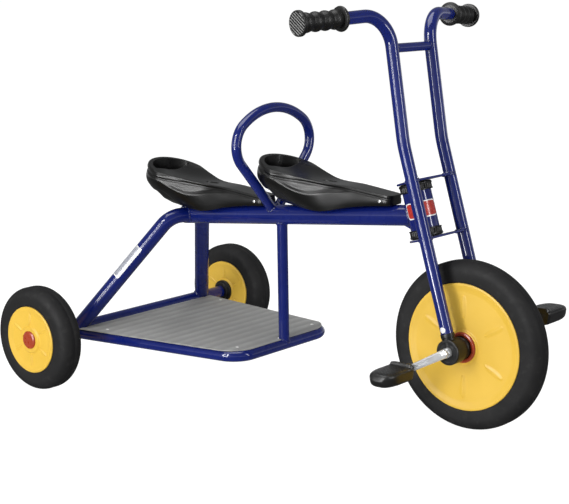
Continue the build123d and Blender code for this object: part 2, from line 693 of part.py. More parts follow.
# Rear wheels, each with a red cap outside and a stepped black collar inside
for name, side in SIDES.items():
    place = Pos(0, side * TRACK / 2, 0)
    rear_tyre = tyre(X_REAR, REAR_RADIUS, REAR_RADIUS, REAR_WIDTH, REAR_SEAT_RADIUS, REAR_SHOULDER)
    rear_bore = AXLE_ROD + 2 * RUNNING_FIT
    rear_disc = wheel_disc(
        X_REAR, REAR_RADIUS, REAR_WIDTH, REAR_SEAT_RADIUS, rear_bore, REAR_COLLAR_DIAMETER / 2
    )
    parts["rear_tyre_" + name] = place * rear_tyre
    parts["rear_disc_" + name] = place * rear_disc
    cap_radius = REAR_CAP_DIAMETER / 2
    cap_high = rear_face + REAR_CAP_HEIGHT
    cap_half = (
        (0, rear_face),
        (cap_radius, rear_face),
        (cap_radius, cap_high - REAR_CAP_BEVEL),
        (cap_radius - REAR_CAP_BEVEL, cap_high),
        (0, cap_high),
    )
    cap = turned([(radius, side * left) for radius, left in cap_half], X_REAR, REAR_RADIUS)
    parts["rear_cap_" + name] = place * cap
    collar = disc(
        X_REAR, REAR_RADIUS, REAR_COLLAR_DIAMETER / 2,
        *sorted((-side * rear_face, -side * (rear_face + REAR_COLLAR_FLANGE))), bore=rear_bore,
    )
    step = disc(
        X_REAR, REAR_RADIUS, REAR_COLLAR_STEP_DIAMETER / 2,
        *sorted((-side * rear_face, -side * (rear_face + REAR_COLLAR_LENGTH))), bore=rear_bore,
    )
    parts["rear_collar_" + name] = place * (collar + step)

os.makedirs("parts", exist_ok=True)
for name, shape in parts.items():
    shape.label = name
    export_step(shape, os.path.join("parts", name + ".step"))
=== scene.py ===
"""Dressed scene of a two-seat toddler tricycle: surfaces, finishes, light and camera."""

import logging
import math
from dataclasses import dataclass, field
from enum import Enum
from typing import Sequence

import bmesh
import bpy
import numpy as np
from mathutils import Matrix


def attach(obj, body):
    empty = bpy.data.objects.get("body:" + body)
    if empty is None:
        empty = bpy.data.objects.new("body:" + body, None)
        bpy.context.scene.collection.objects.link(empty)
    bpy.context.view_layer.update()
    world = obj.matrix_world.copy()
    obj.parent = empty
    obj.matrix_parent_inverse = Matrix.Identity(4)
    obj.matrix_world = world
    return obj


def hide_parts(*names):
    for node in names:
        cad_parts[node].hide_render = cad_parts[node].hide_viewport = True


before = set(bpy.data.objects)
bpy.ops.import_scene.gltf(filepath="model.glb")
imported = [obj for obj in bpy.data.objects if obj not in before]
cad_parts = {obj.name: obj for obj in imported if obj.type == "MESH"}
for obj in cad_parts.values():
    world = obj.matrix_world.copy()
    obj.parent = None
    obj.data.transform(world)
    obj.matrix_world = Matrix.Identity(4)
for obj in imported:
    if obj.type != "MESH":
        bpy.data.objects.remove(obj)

LOG = logging.getLogger("tricycle")
MM = 0.001
# A wave texture's scale for a pitch of one
WAVE_SCALE = 0.1 * math.pi
# Bands of a noise's value over which tone, gloss and wear change
TONE_BAND = (0.35, 0.65)
GLOSS_BAND = (0.3, 0.7)
SCUFF_BAND = (0.74, 0.8)
# Size of a scuff's lumps, and their stretch along each axis
SCUFF_LUMP = 9.0
SCUFF_STRETCH = (1.0, 0.22, 1.0)
# Added roughness of a scuff, and how far more scuff lowers its band
SCUFF_ROUGHNESS = 0.25
SCUFF_SPREAD = 0.1
# Depth of a sticker's under side below the tube's surface
STICKER_SINK = 0.5
Vec = np.ndarray


class Side(Enum):
    """The two sides of the tricycle, with the sign of their distance to the left."""

    RIGHT = -1
    LEFT = 1

    @property
    def word(self) -> str:
        """The side's word, as the bodies and nodes are named."""
        return self.name.lower()

    @property
    def outward(self) -> Vec:
        """Direction from the tricycle's middle to this side."""
        return self.value * LEFTWARD


class Slot(Enum):
    """The record's material slots."""

    BLUE = "blue_paint"
    GREY = "grey_plate"
    BLACK = "black_plastic"
    RUBBER = "black_rubber"
    YELLOW = "yellow_plastic"
    RED = "red_plastic"
    CHROME = "chrome"
    STEEL = "steel"


def vec(*values: float) -> Vec:
    """A point or direction as an array."""
    return np.array(values, dtype=float)


LEFTWARD = vec(0, 1, 0)


def full_turn(count: int) -> Vec:
    """Angles evenly spaced round a full turn."""
    return np.linspace(0.0, 2 * np.pi, count, endpoint=False)


def unit(v: Vec) -> Vec:
    """Directions scaled to length one."""
    return v / np.maximum(np.linalg.norm(v, axis=-1, keepdims=True), 1e-12)


def smooth_step(low: float | Vec, high: float | Vec, at: Vec) -> Vec:
    """Rises from 0 at low to 1 at high as 3t^2 - 2t^3."""
    t = np.clip((at - low) / (high - low), 0.0, 1.0)
    return t * t * (3.0 - 2.0 * t)


def through(knots: Vec, values: Vec, at: Vec) -> Vec:
    """Smooth curve through points: cubic pieces, with slopes at the points taken from their neighbours.

    Args:
        knots: Rising places of the points.
        values: Value at each place, along the first axis.
        at: Places where the curve is wanted.

    Returns:
        The curve's values, with the places along the first axis.
    """
    slopes = np.gradient(values, knots, axis=0)
    i = np.clip(np.searchsorted(knots, at) - 1, 0, len(knots) - 2)
    span = knots[i + 1] - knots[i]
    t = (at - knots[i]) / span
    shape = (-1,) + (1,) * (values.ndim - 1)
    t, span = t.reshape(shape), span.reshape(shape)
    return (
        (2 * t**3 - 3 * t**2 + 1) * values[i]
        + (t**3 - 2 * t**2 + t) * span * slopes[i]
        + (3 * t**2 - 2 * t**3) * values[i + 1]
        + (t**3 - t**2) * span * slopes[i + 1]
    )


@dataclass
class Shell:
    """Points in millimetres and four-cornered faces of one surface."""

    points: Vec
    faces: Vec


def grid(points: Vec, rows_closed: bool = False, columns_closed: bool = True) -> Shell:
    """Surface over a grid of points, each cell a face.

    Args:
        points: Array of rows by columns by three.
        rows_closed: Whether the last row joins the first.
        columns_closed: Whether the last column joins the first.

    Returns:
        The surface.
    """
    rows, columns = points.shape[:2]
    r = np.arange(rows if rows_closed else rows - 1)[:, None]
    c = np.arange(columns if columns_closed else columns - 1)[None, :]
    r2, c2 = (r + 1) % rows, (c + 1) % columns
    faces = np.stack([r * columns + c, r * columns + c2, r2 * columns + c2, r2 * columns + c], axis=-1)
    return Shell(points.reshape(-1, 3), faces.reshape(-1, 4))


def slab(outer: Vec, inner: Vec) -> Shell:
    """Closed thin body between two surfaces on the same grid; its edges meet half way between them.

    Args:
        outer: Grid of the upper surface.
        inner: Grid of the lower surface.

    Returns:
        The closed surface.
    """
    ring = np.concatenate([outer, inner[::-1]])
    middle = 0.5 * (ring + ring[::-1])
    return grid(np.concatenate([middle[:, :1], ring, middle[:, -1:]], axis=1), True, False)


def route(corners: Vec, radii: float | Sequence[float], steps: int = 14) -> tuple[Vec, Vec]:
    """Straight runs joined by arcs: each arc leaves one run and meets the next on its tangent.

    Args:
        corners: Corner points, in two or three dimensions.
        radii: Bend radius at each inner corner.
        steps: Divisions of an arc.

    Returns:
        Points along the route, and their directions.
    """
    before, after = unit(corners[1:-1] - corners[:-2]), unit(corners[2:] - corners[1:-1])
    turn = np.arccos(np.clip((before * after).sum(-1), -1.0, 1.0))
    radius = np.broadcast_to(np.asarray(radii, dtype=float), turn.shape)
    inward = unit(after - (after * before).sum(-1, keepdims=True) * before)
    start = corners[1:-1] - (radius * np.tan(turn / 2))[:, None] * before
    angle = (turn[:, None] * np.linspace(0.0, 1.0, steps + 1))[..., None]
    rise = np.sin(angle) * before[:, None] + (1.0 - np.cos(angle)) * inward[:, None]
    arcs = start[:, None] + radius[:, None, None] * rise
    ways = np.cos(angle) * before[:, None] + np.sin(angle) * inward[:, None]
    size = corners.shape[1]
    points = np.concatenate([corners[:1], arcs.reshape(-1, size), corners[-1:]])
    return points, np.concatenate([before[:1], ways.reshape(-1, size), after[-1:]])


def rounded(corners: Sequence[Sequence[float]], radii: float | Sequence[float], steps: int = 5) -> Vec:
    """Profile through corner points with each inner corner rounded."""
    return route(np.asarray(corners, dtype=float), radii, steps)[0]


def sweep(points: Vec, ways: Vec, radius: float, up: Vec, around: int = 40) -> Shell:
    """Round tube: a circle carried along a path, square to the path, with flat ends.

    Args:
        points: Places along the path.
        ways: Directions of the path there.
        radius: Radius of the tube.
        up: Direction that the path never runs along, to keep the circle from twisting.
        around: Points round the circle.

    Returns:
        The closed surface.
    """
    side = unit(up - (ways @ up)[:, None] * ways)
    other = np.cross(ways, side)
    angle = full_turn(around)[None, :, None]
    body = points[:, None] + radius * (np.cos(angle) * side[:, None] + np.sin(angle) * other[:, None])
    ends = [np.repeat(points[i : i + 1, None], around, axis=1) for i in (0, len(points) - 1)]
    return grid(np.concatenate([ends[0], body, ends[1]]))


def rod(start: Vec, end: Vec, radius: float, around: int = 40) -> Shell:
    """Straight round bar from one point to another."""
    way = unit(end - start)
    up = vec(1, 0, 0) if abs(way[0]) < 0.7 else vec(0, 0, 1)
    return sweep(np.stack([start, end]), np.stack([way, way]), radius, up, around)


def lathe(
    profile: Vec, centre: Vec, axis: Vec, around: int = 96, closed: bool = False,
    flutes: int = 0, depth: float = 0.0,
) -> Shell:
    """Turned form: each profile point (radius, along) is carried round an axis.

    With flutes, the radius is lowered by depth times the sixth power of |cos(flutes * angle / 2)|, where
    the profile is not at the axis, which presses narrow grooves into the side.

    Args:
        profile: Rows of radius and distance along the axis.
        centre: Point on the axis.
        axis: Direction of the axis.
        around: Points round the axis.
        closed: Whether the last profile point joins the first, for a bored form.
        flutes: Number of grooves round the form.
        depth: Depth of the grooves.

    Returns:
        The surface.
    """
    along = unit(axis)
    side = unit(np.cross(along, vec(0.3, 0.1, 1.0) if abs(along[2]) < 0.8 else vec(0.0, 1.0, 0.0)))
    other = np.cross(along, side)
    angle = full_turn(around)
    ring = np.cos(angle)[:, None] * side + np.sin(angle)[:, None] * other
    radius = profile[:, :1] - depth * np.abs(np.cos(flutes * angle / 2)) ** 6 * (profile[:, :1] > depth)
    return grid(centre + profile[:, 1, None, None] * along + radius[..., None] * ring, closed)


def bolt_head(centre: Vec, axis: Vec, across: float, height: float) -> list[Shell]:
    """Hexagon bolt head on a washer: the radius follows a hexagon, rounded off towards the top.

    Args:
        centre: Middle of the washer's under side.
        axis: Direction the head points.
        across: Width across the flats.
        height: Height of the head above its washer.

    Returns:
        The washer and the head.
    """
    washer = across * 0.08
    ring = rounded([(0, 0), (across * 0.8, 0), (across * 0.8, washer), (0, washer)], across * 0.03)
    angle = full_turn(48)
    flat = across / 2 / np.cos((angle + np.pi / 6) % (np.pi / 3) - np.pi / 6)
    # Columns: share of the hexagon, share of the height, limit of the radius in half widths
    rows = np.array([(0, 0, 9), (1, 0, 9), (1, 0.72, 1.16), (0.93, 0.92, 1.04), (0.8, 1.0, 0.9), (0, 1.0, 9)])
    radius = np.minimum(rows[:, :1] * flat, across / 2 * rows[:, 2:])
    along = unit(axis)
    side = unit(np.cross(along, vec(0.3, 0.9, 0.2)))
    spoke = np.cos(angle)[:, None] * side + np.sin(angle)[:, None] * np.cross(along, side)
    lift = (washer + rows[:, 1] * height)[:, None, None] * along
    return [lathe(ring, centre, axis, 48), grid(centre + lift + radius[..., None] * spoke)]


def weld_bead(
    foot: Vec, away: Vec, radius: float, other: Vec, other_way: Vec, other_radius: float, bead: float = 2.1
) -> Shell:
    """Rippled weld bead where one round tube runs into another.

    Each line along the first tube's wall is followed until it leaves the second tube, which is the root of
    a quadratic; a small circle whose radius ripples is carried along the closed curve of those points.

    Args:
        foot: Point on the first tube's axis, inside the second tube.
        away: Direction of the first tube out of the second.
        radius: Radius of the first tube.
        other: Point on the second tube's axis.
        other_way: Direction of the second tube.
        other_radius: Radius of the second tube.
        bead: Radius of the bead.

    Returns:
        The closed bead.
    """
    a, b = unit(away), unit(other_way)
    u = unit(np.cross(a, b) if np.linalg.norm(np.cross(a, b)) > 0.05 else np.cross(a, vec(0.2, 1, 0.1)))
    v = np.cross(a, u)
    angle = full_turn(144)
    out = np.cos(angle)[:, None] * u + np.sin(angle)[:, None] * v
    s = foot + radius * out - other
    s = s - (s @ b)[:, None] * b
    p = a - (a @ b) * b
    half, rest = s @ p, (s * s).sum(-1) - other_radius**2
    root = (-half + np.sqrt(np.maximum(half**2 - (p @ p) * rest, 0.0))) / (p @ p)
    curve = foot + radius * out + root[:, None] * a
    way = unit(np.roll(curve, -1, axis=0) - np.roll(curve, 1, axis=0))
    side = unit(out - (out * way).sum(-1, keepdims=True) * way)
    turn = full_turn(10)[None, :, None]
    ripple, ripples = 0.13, round(radius * 1.6)
    size = bead * (1.0 + ripple * np.sin(angle * ripples))[:, None, None]
    ring = np.cos(turn) * side[:, None] + np.sin(turn) * np.cross(way, side)[:, None]
    return grid(curve[:, None] + size * ring, True, True)


def end_welds(points: Vec, ways: Vec, radius: float, other: Sequence, bead: float) -> list[Shell]:
    """Weld beads at both ends of a path's tube, where it runs into another tube.

    Args:
        points: Places along the path.
        ways: Directions of the path there.
        radius: Radius of the path's tube.
        other: Point on the other tube's axis, its direction and its radius.
        bead: Radius of the bead.

    Returns:
        The two beads.
    """
    return [weld_bead(points[i], sign * ways[i], radius, *other, bead) for i, sign in ((0, 1), (-1, -1))]


class Tree:
    """Adds nodes to one material and joins them."""

    def __init__(self, name: str) -> None:
        """Starts a material with its principled shader and Object coordinates."""
        self.material = bpy.data.materials.new(name)
        self.material.use_nodes = True
        self.nodes = self.material.node_tree.nodes
        self.shader = self.nodes["Principled BSDF"]
        self.place = self.nodes.new("ShaderNodeTexCoord").outputs["Object"]

    def join(self, source: bpy.types.NodeSocket, target: bpy.types.NodeSocket) -> None:
        """Links two sockets."""
        self.material.node_tree.links.new(source, target)

    def noise(self, size: float, detail: float = 3.0, stretch: Vec | None = None) -> bpy.types.NodeSocket:
        """Noise whose lumps are about a size across, optionally stretched.

        Args:
            size: Size of the lumps in millimetres.
            detail: Octaves of finer lumps.
            stretch: Factor on each axis, larger for shorter lumps.

        Returns:
            The noise value.
        """
        node = self.nodes.new("ShaderNodeTexNoise")
        node.inputs["Scale"].default_value = 1.0 / (size * MM)
        node.inputs["Detail"].default_value = detail
        source = self.place
        if stretch is not None:
            mapping = self.nodes.new("ShaderNodeMapping")
            mapping.inputs["Scale"].default_value = stretch
            self.join(source, mapping.inputs["Vector"])
            source = mapping.outputs["Vector"]
        self.join(source, node.inputs["Vector"])
        return node.outputs["Fac"]

    def span(
        self, source: bpy.types.NodeSocket, low: float, high: float, to: tuple[float, float] = (0.0, 1.0)
    ) -> bpy.types.NodeSocket:
        """Maps a value's range from low to high onto another range, clamped."""
        node = self.nodes.new("ShaderNodeMapRange")
        for key, value in (("From Min", low), ("From Max", high), ("To Min", to[0]), ("To Max", to[1])):
            node.inputs[key].default_value = value
        self.join(source, node.inputs["Value"])
        return node.outputs["Result"]

    def blend(self, share: bpy.types.NodeSocket, first: object, second: object) -> bpy.types.NodeSocket:
        """Mixes two colours, each a colour or a socket, by a share."""
        node = self.nodes.new("ShaderNodeMix")
        node.data_type = "RGBA"
        self.join(share, node.inputs["Factor"])
        for index, value in ((6, first), (7, second)):
            if isinstance(value, bpy.types.NodeSocket):
                self.join(value, node.inputs[index])
            else:
                node.inputs[index].default_value = (*value, 1.0)
        return node.outputs[2]

    def add(
        self, kind: str, first: bpy.types.NodeSocket, second: bpy.types.NodeSocket | float
    ) -> bpy.types.NodeSocket:
        """Arithmetic of two values, of a kind such as ADD or MULTIPLY."""
        node = self.nodes.new("ShaderNodeMath")
        node.operation = kind
        self.join(first, node.inputs[0])
        if isinstance(second, bpy.types.NodeSocket):
            self.join(second, node.inputs[1])
        else:
            node.inputs[1].default_value = second
        return node.outputs[0]

    def bump(self, height: bpy.types.NodeSocket, depth: float) -> None:
        """Presses a height, from 0 to 1, into the shader's normal, to a depth in millimetres."""
        node = self.nodes.new("ShaderNodeBump")
        node.inputs["Strength"].default_value = 1.0
        node.inputs["Distance"].default_value = depth * MM
        self.join(height, node.inputs["Height"])
        self.join(node.outputs["Normal"], self.shader.inputs["Normal"])


@dataclass(frozen=True)
class Finish:
    """A surface finish: two close tones that drift over the surface, a spread of gloss, and a grain."""

    name: str
    slot: Slot
    colour: tuple[float, float, float]
    second: tuple[float, float, float]
    roughness: tuple[float, float] = (0.3, 0.4)
    drift: float = 60.0
    grain: float = 1.0
    grain_depth: float = 0.02
    metallic: float = 0.0
    specular: float = 0.5
    coat: float = 0.0
    coat_roughness: float = 0.03
    scuff: float = 0.0
    scuff_colour: tuple[float, float, float] = (0.5, 0.5, 0.5)

    def height(self, tree: Tree) -> bpy.types.NodeSocket:
        """Height of the surface's grain, from 0 to 1."""
        return tree.noise(self.grain, 4.0)

    def base(self, tree: Tree) -> bpy.types.NodeSocket:
        """Colour: the two tones mixed by a slow noise."""
        return tree.blend(tree.span(tree.noise(self.drift), *TONE_BAND), self.colour, self.second)

    def material(self) -> bpy.types.Material:
        """The finish as a node material, made once.

        Returns:
            The material.
        """
        known = bpy.data.materials.get(self.name)
        if known:
            return known
        tree = Tree(self.name)
        shader = tree.shader
        colour = self.base(tree)
        rough = tree.span(tree.noise(self.drift * 0.35, 4.0), *GLOSS_BAND, self.roughness)
        if self.scuff:
            fine = tree.noise(SCUFF_LUMP, 6.0, vec(*SCUFF_STRETCH))
            low, high = SCUFF_BAND
            worn = tree.span(fine, low - SCUFF_SPREAD * self.scuff, high, (0.0, self.scuff))
            colour = tree.blend(worn, colour, self.scuff_colour)
            rough = tree.add("ADD", rough, tree.add("MULTIPLY", worn, SCUFF_ROUGHNESS))
        tree.join(colour, shader.inputs["Base Color"])
        tree.join(rough, shader.inputs["Roughness"])
        tree.bump(self.height(tree), self.grain_depth)
        shader.inputs["Metallic"].default_value = self.metallic
        shader.inputs["Specular IOR Level"].default_value = self.specular
        shader.inputs["Coat Weight"].default_value = self.coat
        shader.inputs["Coat Roughness"].default_value = self.coat_roughness
        return tree.material


@dataclass(frozen=True)
class RoadRubber(Finish):
    """Tyre rubber with patches of pale dust."""

    dust_lump: float = 14.0
    dust_band: tuple[float, float] = (0.56, 0.78)
    dust_share: float = 0.30
    dust_colour: tuple[float, float, float] = (0.040, 0.039, 0.037)

    def base(self, tree: Tree) -> bpy.types.NodeSocket:
        """Two charcoals, with pale dust on the peaks of a middle-sized noise."""
        charcoal = super().base(tree)
        dust = tree.span(tree.noise(self.dust_lump, 6.0), *self.dust_band, (0.0, self.dust_share))
        return tree.blend(dust, charcoal, self.dust_colour)


@dataclass(frozen=True)
class TreadBlack(Finish):
    """Black plastic with a moulded diamond pattern that grips a shoe."""

    pitch: float = 5.2026
    upward: tuple[float, float] = (0.75, 0.95)
    fine: tuple[float, float] = (0.8, 0.12)

    def height(self, tree: Tree) -> bpy.types.NodeSocket:
        """Higher of two crossing waves along X plus Y and X minus Y, on upward faces alone."""
        waves = []
        for turn in (math.pi / 4, -math.pi / 4):
            mapping = tree.nodes.new("ShaderNodeMapping")
            mapping.inputs["Rotation"].default_value = (0.0, 0.0, turn)
            tree.join(tree.place, mapping.inputs["Vector"])
            wave = tree.nodes.new("ShaderNodeTexWave")
            wave.inputs["Scale"].default_value = WAVE_SCALE / (self.pitch * MM)
            tree.join(mapping.outputs["Vector"], wave.inputs["Vector"])
            waves.append(wave.outputs["Fac"])
        split = tree.nodes.new("ShaderNodeSeparateXYZ")
        tree.join(tree.nodes.new("ShaderNodeTexCoord").outputs["Normal"], split.inputs["Vector"])
        facing = tree.span(split.outputs["Z"], *self.upward)
        tread = tree.add("MULTIPLY", tree.add("MAXIMUM", *waves), facing)
        lump, share = self.fine
        return tree.add("ADD", tread, tree.add("MULTIPLY", tree.noise(lump), share))


@dataclass(frozen=True)
class RibbedGrey(Finish):
    """Grey sheet whose ribs are shaded in paint: its hollows carry a darker grey as painted shade, and its
    crests keep the sheet's own two tones.
    """

    pitch: float = 28.73
    start: float = -428.0
    # Darker grey painted into the rib hollows: painted shade.
    hollow_shade: tuple[float, float, float] = (0.262, 0.262, 0.255)

    def base(self, tree: Tree) -> bpy.types.NodeSocket:
        """The two tones on the crests, and the darker grey of painted shade in the hollows of a wave along X.
        """
        wave = tree.nodes.new("ShaderNodeTexWave")
        wave.inputs["Scale"].default_value = WAVE_SCALE / (self.pitch * MM)
        wave.inputs["Phase Offset"].default_value = 2 * np.pi * (-self.start / self.pitch % 1.0)
        tree.join(tree.place, wave.inputs["Vector"])
        return tree.blend(wave.outputs["Fac"], self.hollow_shade, super().base(tree))


BLUE = Finish(
    "blue_powder_coat", Slot.BLUE, (0.0024, 0.0085, 0.110), (0.0036, 0.0110, 0.126),
    (0.24, 0.32), 90.0, 2.4, 0.002,
    specular=0.06, coat=1.0, coat_roughness=0.075, scuff=0.05, scuff_colour=(0.03, 0.05, 0.20),
)
WELD = Finish(
    "blue_coated_weld", Slot.BLUE, (0.0035, 0.008, 0.085), (0.007, 0.013, 0.115),
    (0.24, 0.36), 12.0, 1.6, 0.08,
    specular=0.2, coat=0.8, coat_roughness=0.09,
)
SADDLE_BLACK = Finish(
    "saddle_moulded_black", Slot.BLACK, (0.0026, 0.0025, 0.0023), (0.0036, 0.0035, 0.0032),
    (0.29, 0.31), 45.0, 0.9,
    0.0, specular=0.36, scuff=0.02, scuff_colour=(0.03, 0.03, 0.03),
)
SATIN_BLACK = Finish(
    "satin_black", Slot.BLACK, (0.0035, 0.0035, 0.0038), (0.006, 0.006, 0.006), (0.32, 0.44), 30.0, 0.8, 0.02,
    specular=0.28, scuff=0.04, scuff_colour=(0.05, 0.05, 0.05),
)
GRIP_BLACK = Finish(
    "grip_soft_black", Slot.RUBBER, (0.0036, 0.0036, 0.0036), (0.0065, 0.0064, 0.0060),
    (0.36, 0.48), 22.0, 0.7, 0.03,
    specular=0.32,
)
PEDAL_BLACK = TreadBlack(
    "pedal_tread_black", Slot.RUBBER, (0.0045, 0.0045, 0.0044), (0.0075, 0.0072, 0.0070),
    (0.30, 0.42), 24.0, 1.0, 0.45,
    specular=0.4, scuff=0.05, scuff_colour=(0.05, 0.05, 0.05),
)
RUBBER = RoadRubber(
    "tyre_rubber", Slot.RUBBER, (0.0080, 0.0080, 0.0085), (0.0115, 0.0112, 0.0115),
    (0.62, 0.75), 55.0, 0.9, 0.05,
    specular=0.12,
)
YELLOW = Finish(
    "yellow_moulded", Slot.YELLOW, (0.65, 0.405, 0.040), (0.69, 0.435, 0.050), (0.42, 0.54), 70.0, 1.3, 0.016,
    specular=0.2, scuff=0.10, scuff_colour=(0.78, 0.56, 0.16),
)
RED = Finish(
    "red_moulded", Slot.RED, (0.29, 0.036, 0.011), (0.34, 0.044, 0.013),
    (0.24, 0.36), 18.0, 0.8, 0.02, specular=0.35,
)
# Metallic below one leaves a pale diffuse part: painted reflection of bright surroundings, over the metal's
# own tone.
CHROME = Finish(
    "polished_chrome", Slot.CHROME, (0.78, 0.79, 0.80), (0.86, 0.86, 0.87), (0.10, 0.17), 14.0, 0.6, 0.002,
    metallic=0.62, scuff=0.04, scuff_colour=(0.55, 0.55, 0.56),
)
STEEL = Finish(
    "zinc_steel", Slot.STEEL, (0.50, 0.50, 0.49), (0.62, 0.62, 0.61),
    (0.20, 0.36), 6.0, 0.5, 0.02, metallic=1.0,
)
DECK_GREY = RibbedGrey(
    "deck_grey_sheet", Slot.GREY, (0.300, 0.300, 0.293), (0.335, 0.335, 0.327), (0.56, 0.68), 50.0, 0.7, 0.03,
    specular=0.14, scuff=0.20, scuff_colour=(0.40, 0.40, 0.39),
)
RIVET = Finish(
    "bright_rivet", Slot.STEEL, (0.74, 0.74, 0.73), (0.80, 0.80, 0.79),
    (0.24, 0.34), 6.0, 0.5, 0.01, metallic=0.35,
)
# Pale grey on the grip's end-disc ribs: a painted highlight on the rib crests.
GRIP_RIB_HIGHLIGHT = Finish(
    "grip_rib_painted_highlight", Slot.RUBBER, (0.15, 0.15, 0.148), (0.22, 0.22, 0.215),
    (0.40, 0.55), 6.0, 0.6, 0.03, specular=0.3,
)
BADGE_RED = Finish(
    "badge_red", Slot.RED, (0.36, 0.016, 0.008), (0.41, 0.022, 0.011), (0.20, 0.30), 8.0, 0.5, 0.01, coat=0.3,
)
BADGE_WHITE = Finish(
    "badge_white", Slot.STEEL, (0.70, 0.70, 0.70), (0.76, 0.76, 0.75), (0.22, 0.32), 8.0, 0.5, 0.01, coat=0.3,
)
LABEL_GREY = Finish(
    "label_grey", Slot.STEEL, (0.30, 0.31, 0.36), (0.36, 0.37, 0.41), (0.26, 0.36), 8.0, 0.5, 0.01, coat=0.3,
)


def make_piece(
    name: str, shells: Sequence[Shell], finish: Finish, body: str,
    stands_for: Sequence[str] = (), sharp: float = 34.0,
) -> bpy.types.Object:
    """Joins surfaces into one named piece, dresses it and sets it on a body.

    Args:
        name: The piece's name.
        shells: Its surfaces, each closed.
        finish: Its finish.
        body: The body it moves with.
        stands_for: The CAD nodes it takes the place of.
        sharp: Angle in degrees past which an edge stays crisp.

    Returns:
        The object.
    """
    first = np.cumsum([0] + [len(shell.points) for shell in shells[:-1]])
    points = np.concatenate([shell.points for shell in shells]) * MM
    faces = np.concatenate([shell.faces + start for shell, start in zip(shells, first)])
    mesh = bpy.data.meshes.new(name)
    mesh.from_pydata(points.tolist(), [], faces.tolist())
    work = bmesh.new()
    work.from_mesh(mesh)
    bmesh.ops.remove_doubles(work, verts=work.verts, dist=2e-6)
    bmesh.ops.recalc_face_normals(work, faces=work.faces)
    work.to_mesh(mesh)
    work.free()
    mesh.shade_smooth()
    mesh.set_sharp_from_angle(angle=math.radians(sharp))
    mesh.materials.append(finish.material())
    piece = bpy.data.objects.new(name, mesh)
    bpy.context.scene.collection.objects.link(piece)
    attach(piece, body)
    if stands_for:
        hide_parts(*stands_for)
    LOG.info("%s on %s, %d faces", name, body, len(mesh.polygons))
    return piece


def stand_in(
    node: str, ending: str, shells: Sequence[Shell], finish: Finish, body: str, sharp: float = 34.0
) -> None:
    """Makes the piece that takes the place of one CAD node and is named after it.

    Args:
        node: The node's name.
        ending: What the piece's name adds to it.
        shells: The piece's surfaces.
        finish: Its finish.
        body: The body it moves with.
        sharp: Angle in degrees past which an edge stays crisp.
    """
    make_piece(f"{node}_{ending}", shells, finish, body, [node], sharp)


def dress_node(node: str, finish: Finish) -> None:
    """Gives a CAD node that stays in view its finish.

    Args:
        node: The node's name.
        finish: Its finish.
    """
    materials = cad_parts[node].data.materials
    materials.clear()
    materials.append(finish.material())
    LOG.info("%s keeps its solid, in %s", node, finish.name)


def sticker(
    base: Vec, way: Vec, facing: Vec, radius: float, angle: tuple[float, float], span: tuple[float, float],
    lift: float, power: float = 0.25,
) -> Shell:
    """Thin patch on a tube: part of the tube's own cylinder within a superellipse, lifted off it a little.

    Args:
        base: Point on the tube's middle line.
        way: Direction of that line.
        facing: Direction that angle zero faces, square to the line.
        radius: The tube's radius.
        angle: Middle and half of the patch's angle, in degrees.
        span: Places along the line where the patch starts and ends.
        lift: Height of the patch above the tube.
        power: Power of the superellipse's sine and cosine: 1 for an ellipse, near 0 for square corners.

    Returns:
        The patch, closed by its own under side.
    """
    u = np.sin(np.linspace(-np.pi / 2, np.pi / 2, 49))
    v = np.linspace(-1.0, 1.0, 9)[:, None] * (1.0 - np.abs(u) ** (2 / power)) ** (power / 2)
    at = np.radians(angle[0] + angle[1] * u)[:, None]
    front = np.cos(at) * facing + np.sin(at) * np.cross(way, facing)
    line = base + (sum(span) + (span[1] - span[0]) * v)[..., None] / 2 * way
    return slab(line + (radius + lift) * front, line + (radius - STICKER_SINK) * front)


def stick_panel(
    layers: Sequence[tuple[str, Finish, float, float, float]], tube: Sequence, angle: tuple[float, float],
    span: tuple[float, float], power: float = 0.25,
) -> None:
    """Sticks a blank panel in layers on one of the frame's tubes.

    Args:
        layers: Each layer's name, finish, share of the angle, inset from both ends and lift.
        tube: Point on the tube's middle line, its direction, the direction of angle zero and the radius.
        angle: Middle and half of the panel's angle, in degrees.
        span: Places along the line where the panel starts and ends.
        power: Power of the outline's superellipse.
    """
    for name, finish, wide, inset, lift in layers:
        ends = (span[0] + inset, span[1] - inset)
        patch = sticker(*tube, (angle[0], angle[1] * wide), ends, lift, power)
        make_piece(name, [patch], finish, "frame")


@dataclass(frozen=True)
class Layout:
    """Shared places of the tricycle, in millimetres: X ahead, Y to the left, Z up."""

    rear_x: float = -457.5
    front_x: float = 405.5
    front_radius: float = 160.0
    rear_radius: float = 108.0
    rake: float = 15.8
    head_back: float = 39.2
    main_head_up: float = 253.6
    main_slope: float = 4.79
    main_length: float = 618.4
    main_tube: float = 40.0
    axle_radius: float = 13.5
    rail_radius: float = 11.5

    @property
    def ahead(self) -> Vec:
        """Direction ahead, square to the steering axis."""
        return vec(math.cos(math.radians(self.rake)), 0, math.sin(math.radians(self.rake)))

    @property
    def up(self) -> Vec:
        """Direction up along the steering axis."""
        return vec(-math.sin(math.radians(self.rake)), 0, math.cos(math.radians(self.rake)))

    @property
    def main_way(self) -> Vec:
        """Direction of the main tube, ahead and slightly up."""
        return vec(math.cos(math.radians(self.main_slope)), 0, math.sin(math.radians(self.main_slope)))

    @property
    def main_front(self) -> Vec:
        """Point where the main tube's middle meets the steering axis."""
        return self.head(self.main_head_up)

    @property
    def main_back(self) -> Vec:
        """Rear end of the main tube's middle."""
        return self.main_front - self.main_way * self.main_length

    def steered(self, ahead: float, left: float, up: float) -> Vec:
        """Point in the fork's own directions, measured from the front hub."""
        return vec(self.front_x, left, self.front_radius) + ahead * self.ahead + up * self.up

    def head(self, up: float) -> Vec:
        """Point on the steering axis."""
        return self.steered(-self.head_back, 0.0, up)

    def main_height(self, x: float) -> float:
        """Height of the main tube's middle at a place along the tricycle."""
        return float(self.main_front[2] + (x - self.main_front[0]) * math.tan(math.radians(self.main_slope)))


